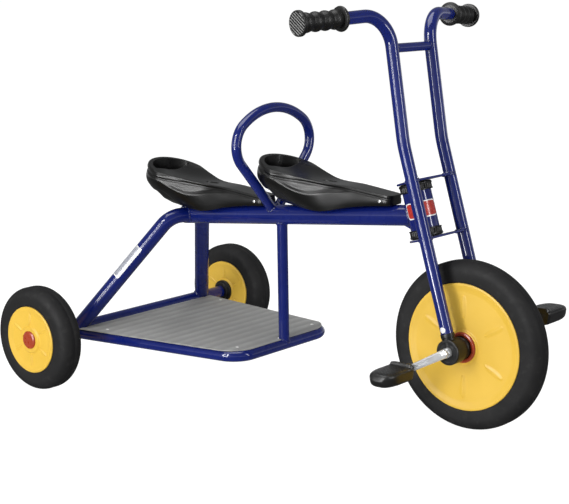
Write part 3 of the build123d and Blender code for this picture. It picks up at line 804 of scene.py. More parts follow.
@dataclass
class Backbone:
    """Main tube, steering head, rear struts, axle, post and passenger's loop."""

    layout: Layout
    head_radius: float = 27.5
    head_wall: float = 3.0
    head_span: tuple[float, float] = (228.6, 299.8)
    cap_radius: float = 31.5
    cap_height: float = 16.5
    cap_bore: float = 11.1
    cap_ridges: int = 32
    cap_ridge_depth: float = 1.3
    strut_radius: float = 16.0
    strut_foot: float = 194.0
    strut_knee: tuple[float, float, float] = (4.4, 49.6, 1.3)
    strut_bend: float = 52.0
    strut_tuck: float = 25.0
    axle_half: float = 258.5
    rod_radius: float = 6.0
    rod_half: float = 322.5
    post_x: float = -44.5
    post_low: float = 94.0
    post_radius: float = 11.0
    loop_x: float = -62.5
    loop_radius: float = 10.0
    loop_half: float = 114.5
    loop_widest: float = 147.0
    loop_top: float = 218.0
    loop_side: float = 52.0
    loop_leg: float = 47.0
    badge_middle: float = -50.0
    badge_angle: float = 71.5
    badge_span: tuple[float, float] = (248.5, 281.0)
    label_facing: tuple[float, float, float] = (0.04, -0.86, 0.50)
    label_angle: float = 42.0
    label_span: tuple[float, float] = (139.0, 220.0)
    label_power: float = 0.12

    def build(self) -> None:
        """Builds and dresses every piece of the backbone."""
        self.build_main()
        self.build_head()
        self.build_struts()
        self.build_axle()
        self.build_post()
        self.build_loop()
        self.build_badge()
        self.build_label()

    def build_main(self) -> None:
        """Main tube, from inside the head tube to its closed rear end, whose edge is rounded."""
        place = self.layout
        radius = place.main_tube / 2
        start = place.main_front - place.main_way * self.head_radius * 0.6
        length = float(np.linalg.norm(start - place.main_back))
        profile = rounded([(0, 0), (radius, 0), (radius, length), (0, length)], [0.5, 3.0])
        tube = lathe(profile, start, -place.main_way, 64)
        stand_in("main_tube", "coated", [tube], BLUE, "frame")
        bead = weld_bead(
            place.main_front, -place.main_way, radius, place.head(0.0), place.up, self.head_radius, 2.4
        )
        make_piece("main_tube_weld", [bead], WELD, "frame")
        dress_node("gusset", BLUE)

    def build_head(self) -> None:
        """Head tube with eased ends, and the two ridged black caps."""
        place = self.layout
        low, high = self.head_span
        r = self.head_radius
        bore = r - self.head_wall
        profile = rounded([(bore, low), (r, low), (r, high), (bore, high)], 0.8)
        tube = lathe(profile, place.head(0.0), place.up, 96, closed=True)
        stand_in("head_tube", "coated", [tube], BLUE, "frame")
        for word, base, turn in (("lower", low, -1), ("upper", high, 1)):
            self.build_cap(word, place.head(base), turn * place.up)

    def build_cap(self, word: str, base: Vec, way: Vec) -> None:
        """Black bearing cap whose middle band has fine upright ridges.

        Args:
            word: Which cap.
            base: Middle of its face against the head tube.
            way: Direction away from the head tube.
        """
        r, h, bore = self.cap_radius, self.cap_height, self.cap_bore
        band = rounded([(bore, 1.2), (r - 1.0, 1.2), (r - 1.0, h - 5.0), (bore, h - 5.0)], 0.8)
        brim = rounded([(bore, h - 5.6), (r, h - 5.6), (r, h - 1.6), (r - 4, h), (bore, h)], [0.8, 1.2, 1.0])
        foot = rounded([(bore, 0), (r - 0.2, 0), (r - 0.2, 2.2), (bore, 2.2)], 0.6)
        shells = [
            lathe(band, base, way, 192, True, flutes=self.cap_ridges, depth=self.cap_ridge_depth),
            lathe(brim, base, way, 96, True),
            lathe(foot, base, way, 96, True),
        ]
        stand_in(f"head_cap_{word}", "ridged", shells, SATIN_BLACK, "frame")

    def strut_corners(self, side: Side) -> Vec:
        """A strut's foot on the axle, its knee and its end inside the main tube."""
        place = self.layout
        ahead, half, rise = self.strut_knee
        foot = vec(place.rear_x, side.value * self.strut_foot, place.rear_radius)
        knee = place.main_back + vec(ahead, side.value * half, rise)
        return np.stack([foot, knee, place.main_back + place.main_way * self.strut_tuck])

    def build_struts(self) -> None:
        """Two bent struts from the axle tube up to the main tube's rear end, welded at both ends."""
        place = self.layout
        for side in Side:
            foot, knee, top = corners = self.strut_corners(side)
            points, ways = route(corners, self.strut_bend, 24)
            normal = unit(np.cross(knee - foot, top - knee))
            tube = sweep(points, ways, self.strut_radius, normal, 48)
            name = f"rear_strut_{side.word}"
            stand_in(name, "coated", [tube], BLUE, "frame")
            low = weld_bead(foot, knee - foot, self.strut_radius, foot, LEFTWARD, place.axle_radius, 2.4)
            high = weld_bead(
                top, knee - top, self.strut_radius, place.main_back, place.main_way, place.main_tube / 2, 2.4
            )
            make_piece(f"{name}_welds", [low, high], WELD, "frame")

    def build_axle(self) -> None:
        """Axle tube between the rear wheels, and the steel rod through it."""
        place = self.layout
        centre = vec(place.rear_x, 0, place.rear_radius)
        r, half = place.axle_radius, self.axle_half
        tube = rounded([(self.rod_radius, -half), (r, -half), (r, half), (self.rod_radius, half)], 0.8)
        stand_in("axle_tube", "coated", [lathe(tube, centre, LEFTWARD, 56, True)], BLUE, "frame")
        r, half = self.rod_radius, self.rod_half
        bar = rounded([(0, -half), (r, -half), (r, half), (0, half)], 0.8)
        stand_in("rear_axle", "rod", [lathe(bar, centre, LEFTWARD, 40)], STEEL, "frame")

    def build_post(self) -> None:
        """Upright post from the deck's front rail to the main tube, welded at both ends."""
        place = self.layout
        low = vec(self.post_x, 0, self.post_low)
        high = vec(self.post_x, 0, place.main_height(self.post_x))
        stand_in("post", "coated", [rod(low, high, self.post_radius)], BLUE, "frame")
        beads = [
            weld_bead(low, high - low, self.post_radius, low, LEFTWARD, place.rail_radius, 2.0),
            weld_bead(high, low - high, self.post_radius, high, place.main_way, place.main_tube / 2, 2.0),
        ]
        make_piece("post_welds", beads, WELD, "frame")

    def build_loop(self) -> None:
        """Passenger's loop: two leaning legs, round sides and a flatter top, in one upright plane.

        Each half is a straight leg, an arc of the side radius about the side's middle and an arc of the top
        radius about a point on the middle line; the top radius follows from both arcs meeting on a tangent.
        """
        place = self.layout
        base = place.main_height(self.loop_x)
        leg = math.radians(self.loop_leg)
        side_mid = vec(self.loop_half - self.loop_side, self.loop_widest)
        rise = self.loop_top - self.loop_widest
        top_radius = (side_mid[0] ** 2 + rise**2 - self.loop_side**2) / (2 * (rise - self.loop_side))
        top_mid = vec(0.0, self.loop_top - top_radius)
        toward = side_mid - top_mid
        meet = math.atan2(toward[1], toward[0])
        start = side_mid + self.loop_side * vec(math.sin(leg), -math.cos(leg))
        foot = start - start[1] / math.tan(leg) * vec(1.0, math.tan(leg))
        turn = np.linspace(leg - math.pi / 2, meet, 28)[:, None]
        over = np.linspace(meet, math.pi / 2, 22)[1:, None]
        side_arc = side_mid + self.loop_side * np.concatenate([np.cos(turn), np.sin(turn)], axis=1)
        top_arc = top_mid + top_radius * np.concatenate([np.cos(over), np.sin(over)], axis=1)
        half = np.concatenate([foot[None], side_arc, top_arc])
        angle = np.concatenate([[leg], turn[:, 0] + math.pi / 2, over[:, 0] + math.pi / 2])
        ways = np.stack([np.cos(angle), np.sin(angle)], axis=1)
        line = np.concatenate([half, (half * vec(-1, 1))[-2::-1]])
        ways = np.concatenate([ways, (ways * vec(1, -1))[-2::-1]])
        points = np.stack([np.full(len(line), self.loop_x), line[:, 0], base + line[:, 1]], axis=1)
        ways = np.stack([np.zeros(len(line)), ways[:, 0], ways[:, 1]], axis=1)
        tube = sweep(points, ways, self.loop_radius, vec(1, 0, 0), 40)
        stand_in("passenger_loop", "coated", [tube], BLUE, "frame")
        middle = vec(self.loop_x, 0, base)
        main = (middle, place.main_way, place.main_tube / 2)
        beads = end_welds(points, ways, self.loop_radius, main, 2.0)
        make_piece("passenger_loop_welds", beads, WELD, "frame")

    def build_badge(self) -> None:
        """Blank red panel with a white border, wrapped round the head tube's right front."""
        place = self.layout
        layers = (
            ("badge_border", BADGE_WHITE, 1.0, 0.5, 0.35),
            ("badge_panel", BADGE_RED, 0.94, 2.8, 0.55),
        )
        tube = (place.head(0.0), place.up, place.ahead, self.head_radius)
        stick_panel(layers, tube, (self.badge_middle, self.badge_angle), self.badge_span)

    def build_label(self) -> None:
        """Blank grey label with a white border, on the right strut's upper outer side."""
        foot, knee, _ = self.strut_corners(Side.RIGHT)
        way = unit(knee - foot)
        facing = unit(np.cross(np.cross(way, vec(*self.label_facing)), way))
        layers = (
            ("strut_label_border", BADGE_WHITE, 1.0, 0.0, 0.3),
            ("strut_label_panel", LABEL_GREY, 0.78, 3.0, 0.45),
        )
        tube = (foot, way, facing, self.strut_radius)
        stick_panel(layers, tube, (0.0, self.label_angle), self.label_span, self.label_power)


@dataclass
class Deck:
    """Rear deck: one bent tube from the axle round the front, and a ribbed sheet on it."""

    layout: Layout
    length: float = 413.0
    front_z: float = 94.0
    rear_z: float = 97.5
    front_half: float = 141.0
    rear_half: float = 198.0
    corner: float = 45.0
    plate_back: float = -397.5
    plate_front: float = 4.0
    overhang: float = 10.0
    thickness: float = 2.0
    ribs: int = 13
    rib_height: float = 1.1
    rib_power: float = 1.4
    border: float = 14.0
    border_fade: float = 6.0
    edge_roll: tuple[float, float] = (1.3, 2.4)
    notch: float = 14.0
    seat_gap: float = 0.05
    counts: tuple[int, int] = (441, 281)
    rivet_radius: float = 4.0
    rivet_spots: tuple[tuple[float, float], ...] = ((-23.0, 24.0), (-339.0, 10.0))

    @property
    def front_x(self) -> float:
        """Place of the front rail along the tricycle."""
        return self.layout.rear_x + self.length

    @property
    def slope(self) -> float:
        """Angle by which the deck rises to the rear."""
        return math.atan2(self.rear_z - self.front_z, self.length)

    def half_width(self, ahead: Vec) -> Vec:
        """Half width between the rails' middles, at places measured ahead from the front rail."""
        return self.front_half - (self.rear_half - self.front_half) * ahead / self.length

    def on_plane(self, ahead: Vec, left: Vec, up: Vec) -> Vec:
        """Points above the plane of the rails' tops.

        Args:
            ahead: Distance ahead of the front rail.
            left: Distance to the left.
            up: Height above the rails' tops.

        Returns:
            Points in space.
        """
        lift = up + self.layout.rail_radius
        x = self.front_x + ahead * math.cos(self.slope) + lift * math.sin(self.slope)
        z = self.front_z - ahead * math.sin(self.slope) + lift * math.cos(self.slope)
        return np.stack(np.broadcast_arrays(x, left, z), axis=-1)

    def build(self) -> None:
        """Builds the bent rail, the sheet and its rivets."""
        self.build_rail()
        self.build_plate()
        self.build_rivets()

    def build_rail(self) -> None:
        """Bent rail with a weld at each end on the axle tube."""
        x, front = self.layout.rear_x, self.front_x
        corners = np.array(
            [
                (x, -self.rear_half, self.rear_z),
                (front, -self.front_half, self.front_z),
                (front, self.front_half, self.front_z),
                (x, self.rear_half, self.rear_z),
            ]
        )
        points, ways = route(corners, self.corner, 24)
        radius = self.layout.rail_radius
        tube = sweep(points, ways, radius, vec(0, 0, 1), 40)
        make_piece("deck_rail_coated", [tube], BLUE, "frame", ["deck_frame"])
        axle = (vec(x, 0, self.layout.rear_radius), LEFTWARD, self.layout.axle_radius)
        make_piece("deck_rail_welds", end_welds(points, ways, radius, axle, 2.2), WELD, "frame")

    def build_plate(self) -> None:
        """Ribbed sheet: height over a grid that runs from back to front and from side to side.

        The front edge follows the rail's corners as quarter circles and dips round the post as a circle. The
        height is a row of raised cosine ribs that fade out at the border, less a rolled edge.
        """
        rows, columns = self.counts
        v = np.linspace(-1.0, 1.0, columns)[None, :]
        u = np.linspace(0.0, 1.0, rows)[:, None]
        bend = self.corner + self.plate_front
        y = np.abs(v) * (float(self.half_width(np.array(self.plate_front))) + self.overhang)
        past = np.clip(y - (y.max() - bend), 0.0, bend)
        front = self.plate_front - (bend - np.sqrt(bend**2 - past**2))
        dip = -np.sqrt(np.maximum(self.notch**2 - y**2, 0.0))
        front = np.where(y < self.notch, np.minimum(front, dip), front)
        ahead = self.plate_back + u * (front - self.plate_back)
        half = self.half_width(ahead) + self.overhang
        left = v * half
        pitch = (self.plate_front - self.plate_back - 2 * self.border) / self.ribs
        along = (ahead - self.plate_back - self.border) / pitch
        edge = np.minimum(
            np.minimum(ahead - self.plate_back, self.plate_front - ahead), half - np.abs(left)
        )
        inside = smooth_step(self.border - self.border_fade, self.border + self.border_fade, edge)
        wave = 0.5 - 0.5 * np.cos(2 * np.pi * along)
        rib = self.rib_height * wave**self.rib_power * inside * (along > 0) * (along < self.ribs)
        drop, width = self.edge_roll
        roll = drop * (1.0 - smooth_step(0.0, width, edge))
        top = self.on_plane(ahead, left, self.thickness + rib - roll)
        under = self.on_plane(ahead, left, self.seat_gap + 0 * rib)
        stand_in("deck_plate", "ribbed", [slab(top, under)], DECK_GREY, "frame", 50.0)

    def build_rivets(self) -> None:
        """Domed rivets near the sheet's four corners."""
        r = self.rivet_radius
        dome = np.array(
            [(0, -1.5), (r, -1.5), (r, 0.1), (r * 0.93, 0.8), (r * 0.7, 1.5), (r * 0.36, 1.9), (0, 2.0)]
        )
        shells = []
        for ahead, inset in self.rivet_spots:
            for side in Side:
                left = side.value * (float(self.half_width(np.array(ahead))) - inset)
                base = self.on_plane(np.array(ahead), np.array(left), np.array(self.thickness))
                shells.append(lathe(dome, base, vec(math.sin(self.slope), 0, math.cos(self.slope)), 32))
        make_piece("deck_rivets", shells, RIVET, "frame")


@dataclass
class Saddle:
    """Moulded saddle: narrow nose, round dished back with a hand hole, and a skirt over the main tube.

    Each section gives its place ahead of the slot, then half width and height above the main tube's middle
    at the rim, shoulder, flank, crease and skirt.
    """

    name: str
    slot_x: float
    layout: Layout
    sections: tuple[tuple[float, ...], ...] = (
        (-94, 66, 89.5, 72, 75, 62, 54, 40, 30, 20, 18),
        (-50, 48.5, 79.5, 55, 66.5, 52, 46, 42, 25, 30, 14),
        (0, 32, 69, 36, 56, 38, 40, 38, 24, 36, 11),
        (70, 26.5, 63.5, 29, 54, 31, 43, 31, 33, 29, 24),
        (120, 24.5, 57, 26, 50.5, 27.5, 44, 27.5, 37, 25.5, 30.5),
        (160, 22.5, 52, 23.5, 47, 24.5, 42.5, 24.5, 38, 22.5, 33),
    )
    back: float = -94.0
    nose: float = 160.0
    nose_round: float = 22.0
    rim_rise: float = 18.5
    dish_low: float = 67.5
    dish_long: float = 267.0
    dish_cross: float = 190.0
    hole_radius: float = 57.0
    hole_front: float = -107.0
    hole_bulge: float = 5.0
    slot_size: tuple[float, float, float] = (26.0, 11.0, 5.0)
    hole_corner_spread: float = 6.0
    hole_corner_pull: tuple[float, float, float] = (3.0, -8.0, -14.0)
    dish_soft: float = 0.9
    dish_reach: float = 90.0
    slot_ease: tuple[float, float] = (1.2, 0.6)
    tail_from: tuple[float, float] = (10.0, -40.0)
    tail_share: float = 0.53
    groove: tuple[float, float] = (6.5, 5.0)
    groove_depth: tuple[float, float] = (1.3, 2.2)
    groove_spread: float = 1.9
    rim_roll: tuple[float, float, float] = (1.6, 0.45, 3.2)
    crest_drop: tuple[float, float] = (6.0, 14.0)
    crest_place: tuple[float, float] = (-31.0, 42.0)
    flank_reach: tuple[float, float, float, float] = (-92.0, -55.0, 75.0, 20.0)
    ledge: tuple[float, float, float, float] = (3.4, 4.5, 1.5, 16.0)
    wall: tuple[float, float, float, float, float] = (3.0, 1.5, 5.5, 5.0, 1.0)
    insets: tuple[float, ...] = (0.0, 0.9, 2.0, 3.3, 4.8, 6.6, 9.0)
    counts: tuple[int, int, int] = (16, 60, 26)
    row_counts: tuple[int, int, int, int] = (64, 116, 34, 22)
    smoothing: int = 4
    screw_place: tuple[float, float, float] = (138.0, 25.6, 41.0)
    knots: Vec = field(init=False)
    levels: Vec = field(init=False)

    def __post_init__(self) -> None:
        """Sorts the sections into places and an array of half widths and heights."""
        table = np.array(self.sections, dtype=float)
        self.knots = table[:, 0]
        self.levels = table[:, 1:].reshape(len(table), 5, 2)

    def rim_height(self, x: Vec) -> Vec:
        """Height of the rim's plane: through the sections ahead, rising on a slope behind."""
        at = np.clip(x, self.back, self.nose).ravel()
        ahead = through(self.knots, self.levels[:, 0, 1], at).reshape(x.shape)
        return ahead + np.maximum(self.back - x, 0.0) * math.tan(math.radians(self.rim_rise))

    def top_height(self, x: Vec, y: Vec) -> Vec:
        """Height of the top: the softened lower one of the rim's plane and the dish, less the slot.

        The dish is a circle of the cross radius carried round a circle of the long radius above it.

        Args:
            x: Places ahead of the slot.
            y: Places to the left.

        Returns:
            Heights above the main tube's middle.
        """
        sag = self.dish_cross - np.sqrt(self.dish_cross**2 - np.minimum(np.abs(y), self.dish_reach) ** 2)
        dish = self.dish_low + self.dish_long - np.sqrt((self.dish_long - sag) ** 2 - x**2)
        rim = self.rim_height(x)
        soft = self.dish_soft
        low = np.minimum(dish, rim) - soft * np.log1p(np.exp(-np.abs(dish - rim) / soft))
        long, wide, deep = self.slot_size
        reach = np.hypot(np.maximum(np.abs(x) - (long - wide) / 2, 0.0), y)
        inner, outer = self.slot_ease
        return low - deep * (1.0 - smooth_step(wide / 2 - inner, wide / 2 + outer, reach))

    def bottom_height(self, x: Vec, y: Vec) -> Vec:
        """Height of the under side: the lower part of the section, read at its half width.

        Args:
            x: Places ahead of the slot.
            y: Places to the left.

        Returns:
            Heights above the main tube's middle.
        """
        reach = np.where(x < self.back, np.hypot(x - self.back, y), np.abs(y))
        at = np.clip(x, self.back, self.nose).ravel()
        low = through(self.knots, self.levels, at).reshape(x.shape + (5, 2))
        (w2, h2), (w3, h3), (w4, h4) = (np.moveaxis(low[..., k, :], -1, 0) for k in (2, 3, 4))
        outer = h3 + (h2 - h3) * np.clip((reach - w3) / np.maximum(w2 - w3, 0.5), 0.0, 1.0)
        inner = h4 + (h3 - h4) * np.clip((reach - w4) / np.maximum(w3 - w4, 0.5), 0.0, 1.0)
        return np.where(reach > w3, outer, inner)

    def columns(self) -> tuple[Vec, Vec, Vec, Vec]:
        """Where the loops of one half lie, from the nose, which is a superellipse in plan, to the back.

        Returns:
            Each loop's place ahead, share of the width, swing round the back and facing in plan.
        """
        nose, run, bend = self.counts
        turn = np.linspace(0.0, np.pi / 2, nose, endpoint=False)
        straight = self.nose - self.nose_round
        x = np.concatenate(
            [
                straight + self.nose_round * np.sqrt(np.cos(turn)),
                np.linspace(straight, self.back, run),
                np.full(bend, self.back),
            ]
        )
        across = np.concatenate([np.sqrt(np.sin(turn)), np.ones(run + bend)])
        swing = np.concatenate([np.zeros(nose + run), np.linspace(0.0, np.pi / 2, bend + 1)[1:]])
        nose_half = self.levels[-1, 0, 0]
        facing = np.stack([np.cos(turn) ** 1.5 / self.nose_round, np.sin(turn) ** 1.5 / nose_half], axis=1)
        facing = np.concatenate([unit(facing), np.stack([-np.sin(swing), np.cos(swing)], axis=1)[nose:]])
        return x, across, swing, facing

    def side_rows(self, x: Vec, across: Vec, swing: Vec) -> Vec:
        """The side, from the rim down: a cubic through a section's five levels, shaped further.

        A bell curve below the rim presses in a groove, another rolls the rim out over it at the back, and
        smooth steps draw in a wall and push out a ledge along the flank.

        Args:
            x: Place ahead of each loop.
            across: Share of the width there.
            swing: Angle round the back.

        Returns:
            Grid of points, loops along the columns.
        """
        level = through(self.knots, self.levels, np.clip(x, self.back, self.nose))
        wide, high = level[..., 0] * across[:, None], level[..., 1].copy()
        high[:, 0] += wide[:, 0] * np.sin(swing) * math.tan(math.radians(self.rim_rise))
        rear_from, tail_from = self.tail_from
        rear = smooth_step(rear_from, self.back, x)
        last = 1.0 - (1.0 - self.tail_share) * smooth_step(tail_from, self.back, x)
        t = np.linspace(0.0, 1.0, self.row_counts[0])[:, None] * last
        steps = np.linspace(0.0, 1.0, 5)
        i = np.clip((t * 4).astype(int), 0, 3)
        column = np.arange(len(x))[None, :]
        f = t * 4 - i

        def along(values: Vec) -> Vec:
            """Cubic through the five levels of each column, in the same way as through."""
            slope = np.gradient(values, steps, axis=1) / 4
            a, b = values[column, i], values[column, i + 1]
            return (
                (2 * f**3 - 3 * f**2 + 1) * a + (f**3 - 2 * f**2 + f) * slope[column, i]
                + (3 * f**2 - 2 * f**3) * b + (f**3 - f**2) * slope[column, i + 1]
            )

        side_w, side_h = along(wide), along(high)
        below = high[:, 0] - side_h
        groove = self.groove[0] + self.groove[1] * rear
        roll_out, roll_at, roll_spread = self.rim_roll
        roll = roll_out * rear * np.exp(-(((below - roll_at * groove) / roll_spread) ** 2))
        depth = self.groove_depth[0] + self.groove_depth[1] * rear
        cut = depth * np.exp(-(((below - groove) / self.groove_spread) ** 2)) * across
        crest_at, crest_spread = self.crest_place
        dip = np.exp(-(((x - crest_at) / crest_spread) ** 2))
        crest = groove + self.crest_drop[0] + self.crest_drop[1] * dip
        back_from, back_to, front_from, front_to = self.flank_reach
        reach = smooth_step(back_from, back_to, x) * smooth_step(front_from, front_to, x)
        ledge_out, above, under, fade = self.ledge
        ledge = smooth_step(crest - above, crest + under, below)
        ledge = ledge * np.exp(-np.maximum(below - crest, 0.0) / fade)
        wall_in, wall_from, wall_to, above, under = self.wall
        wall = smooth_step(wall_from, wall_to, below)
        wall = wall * (1.0 - smooth_step(crest - above, crest + under, below))
        side_w = side_w + roll - cut + reach * (ledge_out * ledge - wall_in * wall)
        return np.stack([x - side_w * np.sin(swing), side_w * np.cos(swing), side_h], axis=-1)

    def hole_edge(self, rim: Vec) -> Vec:
        """Edge of the hand hole in plan, one point for each loop: a bowed front and a circle behind it.

        Points follow the rim's length, and a bell curve about the corner draws them in to round it.

        Args:
            rim: The rim's points in plan.

        Returns:
            The hole's points in plan.
        """
        nose, run, _ = self.counts
        arc = np.concatenate([[0.0], np.cumsum(np.linalg.norm(np.diff(rim, axis=0), axis=1))])
        head = nose + run - 1
        corner = self.hole_front - self.hole_bulge
        chord = math.sqrt(self.hole_radius**2 - (self.back - corner) ** 2)
        start = math.atan2(chord, corner - self.back)
        front_share = np.clip(arc / arc[head], 0.0, 1.0)
        back_share = np.clip((arc - arc[head]) / (arc[-1] - arc[head]), 0.0, 1.0)
        angle = start + (np.pi - start) * back_share
        front = np.stack([self.hole_front - self.hole_bulge * front_share**2, chord * front_share], axis=1)
        behind = self.hole_radius * np.stack([np.cos(angle), np.sin(angle)], axis=1) + vec(self.back, 0.0)
        hole = np.where((np.arange(len(rim)) <= head)[:, None], front, behind)
        off = np.linalg.norm(hole - vec(corner, chord), axis=1)
        pull = np.exp(-((off / self.hole_corner_spread) ** 2))[:, None]
        far, back, left = self.hole_corner_pull
        return hole + pull * far * unit(vec(back, left))

    def half_surface(self) -> Vec:
        """One half of the saddle: closed loops round the section, set side by side from nose to back.

        A loop starts at the hand hole's top edge, runs out over the dish to the rim, rolls over it and down
        the side with a groove and a ledge, turns in along the under side and climbs the hole's wall.

        Returns:
            Grid of points, loops along the columns.
        """
        x, across, swing, facing = self.columns()
        side = self.side_rows(x, across, swing)
        rim, end = side[0, :, :2], side[-1]
        hole = self.hole_edge(rim)
        _, fan_rows, low_rows, bore_rows = self.row_counts
        plan = rim - np.array(self.insets)[:, None, None] * facing
        share = np.linspace(0.0, 1.0, fan_rows)[1:, None, None]
        plan = np.concatenate([plan, plan[-1] + share * (hole - plan[-1])])
        top = np.concatenate([plan, self.top_height(plan[..., 0], plan[..., 1])[..., None]], axis=-1)
        top[0] = side[0]
        share = np.linspace(0.0, 1.0, low_rows)[1:, None, None]
        plan = end[:, :2] + share * (hole - end[:, :2])
        low_z = self.bottom_height(plan[..., 0], plan[..., 1])
        ease = smooth_step(0.0, 0.15, share[..., 0])
        low = np.concatenate([plan, (end[:, 2] * (1 - ease) + low_z * ease)[..., None]], axis=-1)
        bore = low[-1] + np.linspace(0.0, 1.0, bore_rows)[1:-1, None, None] * (top[-1] - low[-1])
        loop = np.concatenate([top[::-1], side[1:], low, bore])
        for _ in range(self.smoothing):
            loop = 0.25 * np.roll(loop, 1, axis=0) + 0.5 * loop + 0.25 * np.roll(loop, -1, axis=0)
        return loop

    def build(self) -> None:
        """Builds the moulding, both halves from one, and its two small screws at the nose."""
        half = self.half_surface()
        half[:, 0, 1] = 0.0
        half[:, -1, 1] = 0.0
        other = half[:, -2:0:-1] * vec(1, -1, 1)
        base = vec(self.slot_x, 0.0, self.layout.main_height(self.slot_x))
        moulding = grid(np.concatenate([half, other], axis=1) + base, True, True)
        stand_in(self.name, "moulding", [moulding], SADDLE_BLACK, "frame", 60.0)
        dome = np.array([(0, -2.0), (3.4, -2.0), (3.4, 0.4), (2.9, 1.1), (1.6, 1.5), (1.2, 0.9), (0, 0.9)])
        ahead, left, up = self.screw_place
        screws = [
            lathe(dome, base + vec(ahead, side.value * left, up), side.outward, 28) for side in Side
        ]
        make_piece(f"{self.name}_screws", screws, STEEL, "frame")


@dataclass
class Steering:
    """Fork legs that run on up into the handlebars, with brace, crown plates and bearing housings."""

    layout: Layout
    leg_half: float = 62.5
    leg_radius: float = 12.0
    leg_low: float = 27.0
    bend_up: float = 388.0
    bend_radius: float = 220.0
    bar_ahead: float = 31.36
    bar_up: float = 623.0
    bar_bend: float = 58.0
    bar_sweep: float = 11.5
    bar_end: float = 268.0
    brace_up: float = 561.0
    brace_radius: float = 8.5
    crown_ups: tuple[float, float] = (207.6, 316.8)
    crown_thick: float = 4.0
    crown_back_radius: float = 34.2
    crown_leg_radius: float = 8.0
    spindle_radius: float = 11.0
    housing: tuple[float, float, float] = (24.0, 47.5, 75.5)
    socket_radius: float = 13.2
    socket_top: float = 34.0
    housing_bore: float = 9.5
    bead: tuple[float, float] = (1.7, 1.9)
    bead_shift: float = 1.9
    crown_edge: float = 0.7
    grip_start: float = 170.0
    grip_flange: tuple[tuple[float, float], ...] = (
        (12.05, 0.0), (17.0, 0.0), (22.6, 2.4), (23.0, 5.0), (22.0, 8.0), (15.4, 8.6),
    )
    grip_rim: tuple[tuple[float, float], ...] = (
        (15.4, 97.4), (22.0, 97.6), (23.0, 99.0), (23.0, 103.4), (21.6, 105.2), (20.4, 104.3), (0.0, 104.3),
    )
    grip_waves: int = 4
    grip_radii: tuple[float, float] = (15.0, 3.0)
    grip_hold: tuple[float, float] = (8.6, 88.8)
    rib_pitch: float = 4.9
    rib_height: float = 104.6
    rib_disc: float = 20.2
    rib_radius: float = 0.85
    rib_slant: float = 0.9

    def bar_point(self, side: Side, left: float) -> Vec:
        """Point on the straight outer run of a handlebar."""
        back = (left - self.leg_half) * math.tan(math.radians(self.bar_sweep))
        return self.layout.steered(self.bar_ahead - back, side.value * left, self.bar_up)

    def build(self) -> None:
        """Builds and dresses every piece of the steering."""
        for side in Side:
            self.build_leg(side)
            self.build_housing(side)
        self.build_brace()
        self.build_crowns()
        dress_node("steering_spindle", STEEL)

    def build_leg(self, side: Side) -> None:
        """One fork leg and handlebar: three straight runs and two bends."""
        place = self.layout
        corners = np.stack(
            [
                place.steered(0, side.value * self.leg_half, self.leg_low),
                place.steered(0, side.value * self.leg_half, self.bend_up),
                self.bar_point(side, self.leg_half),
                self.bar_point(side, self.bar_end),
            ]
        )
        points, ways = route(corners, [self.bend_radius, self.bar_bend], 28)
        tube = sweep(points, ways, self.leg_radius, place.ahead, 48)
        name = f"fork_tube_{side.word}"
        stand_in(name, "coated", [tube], BLUE, "steering")

    def build_brace(self) -> None:
        """Cross brace between the legs, welded at both ends."""
        place = self.layout
        lean = math.atan2(self.bar_ahead, self.bar_up - self.bend_up)
        ahead = (self.brace_up - self.bend_up) * math.tan(lean)
        right, left = (place.steered(ahead, s * self.leg_half, self.brace_up) for s in (-1, 1))
        stand_in("brace", "coated", [rod(right, left, self.brace_radius)], BLUE, "steering")
        leg_way = place.steered(math.tan(lean), 0, 1) - place.steered(0, 0, 0)
        beads = [
            weld_bead(a, b - a, self.brace_radius, a, leg_way, self.leg_radius, 1.7)
            for a, b in ((right, left), (left, right))
        ]
        make_piece("brace_welds", beads, WELD, "steering")

    def build_crowns(self) -> None:
        """Two crown plates: the hull of a circle about the head and a small one at each leg.

        The outline's point in each direction lies on the circle that reaches furthest that way.
        """
        place = self.layout
        angle = full_turn(240)
        facing = np.stack([np.cos(angle), np.sin(angle)], axis=1)
        reach = place.head_back
        mids = np.array([(0, 0), (reach, -self.leg_half), (reach, self.leg_half)], dtype=float)
        radii = np.array([self.crown_back_radius, self.crown_leg_radius, self.crown_leg_radius])
        pick = np.argmax(facing @ mids.T + radii, axis=1)
        outline = mids[pick] + radii[pick, None] * facing
        core = self.spindle_radius * 0.98 * unit(outline)
        edge = self.crown_edge
        for word, low in zip(("lower", "upper"), self.crown_ups):
            high = low + self.crown_thick
            rows = (
                (core, low), (outline - edge * facing, low), (outline, low + edge),
                (outline, high - edge), (outline - edge * facing, high), (core, high),
            )
            points = np.stack(
                [
                    place.head(0.0) + flat[:, :1] * place.ahead + flat[:, 1:] * LEFTWARD + up * place.up
                    for flat, up in rows
                ]
            )
            plate = f"crown_plate_{word}"
            stand_in(plate, "coated", [grid(points, True)], BLUE, "steering")
            beads = [self.leg_bead(side, up) for side in Side for up in (low, high)]
            make_piece(f"{plate}_welds", beads, WELD, "steering")
        top = place.head(self.crown_ups[1] + self.crown_thick)
        make_piece("steering_bolt", bolt_head(top, place.up, 17.0, 8.0), STEEL, "steering")

    def leg_bead(self, side: Side, up: float) -> Shell:
        """Rippled weld between a leg and a crown plate's face: a ring set in towards the steering axis."""
        turn = full_turn(12)
        out, along = self.bead
        profile = np.stack([self.leg_radius + out * np.cos(turn), along * np.sin(turn)], axis=1)
        leg = self.layout.steered(0, side.value * self.leg_half, up)
        inward = unit(self.layout.head(up) - leg)
        middle = leg + self.bead_shift * inward
        return lathe(profile, middle, self.layout.up, 120, True, flutes=26, depth=0.35)

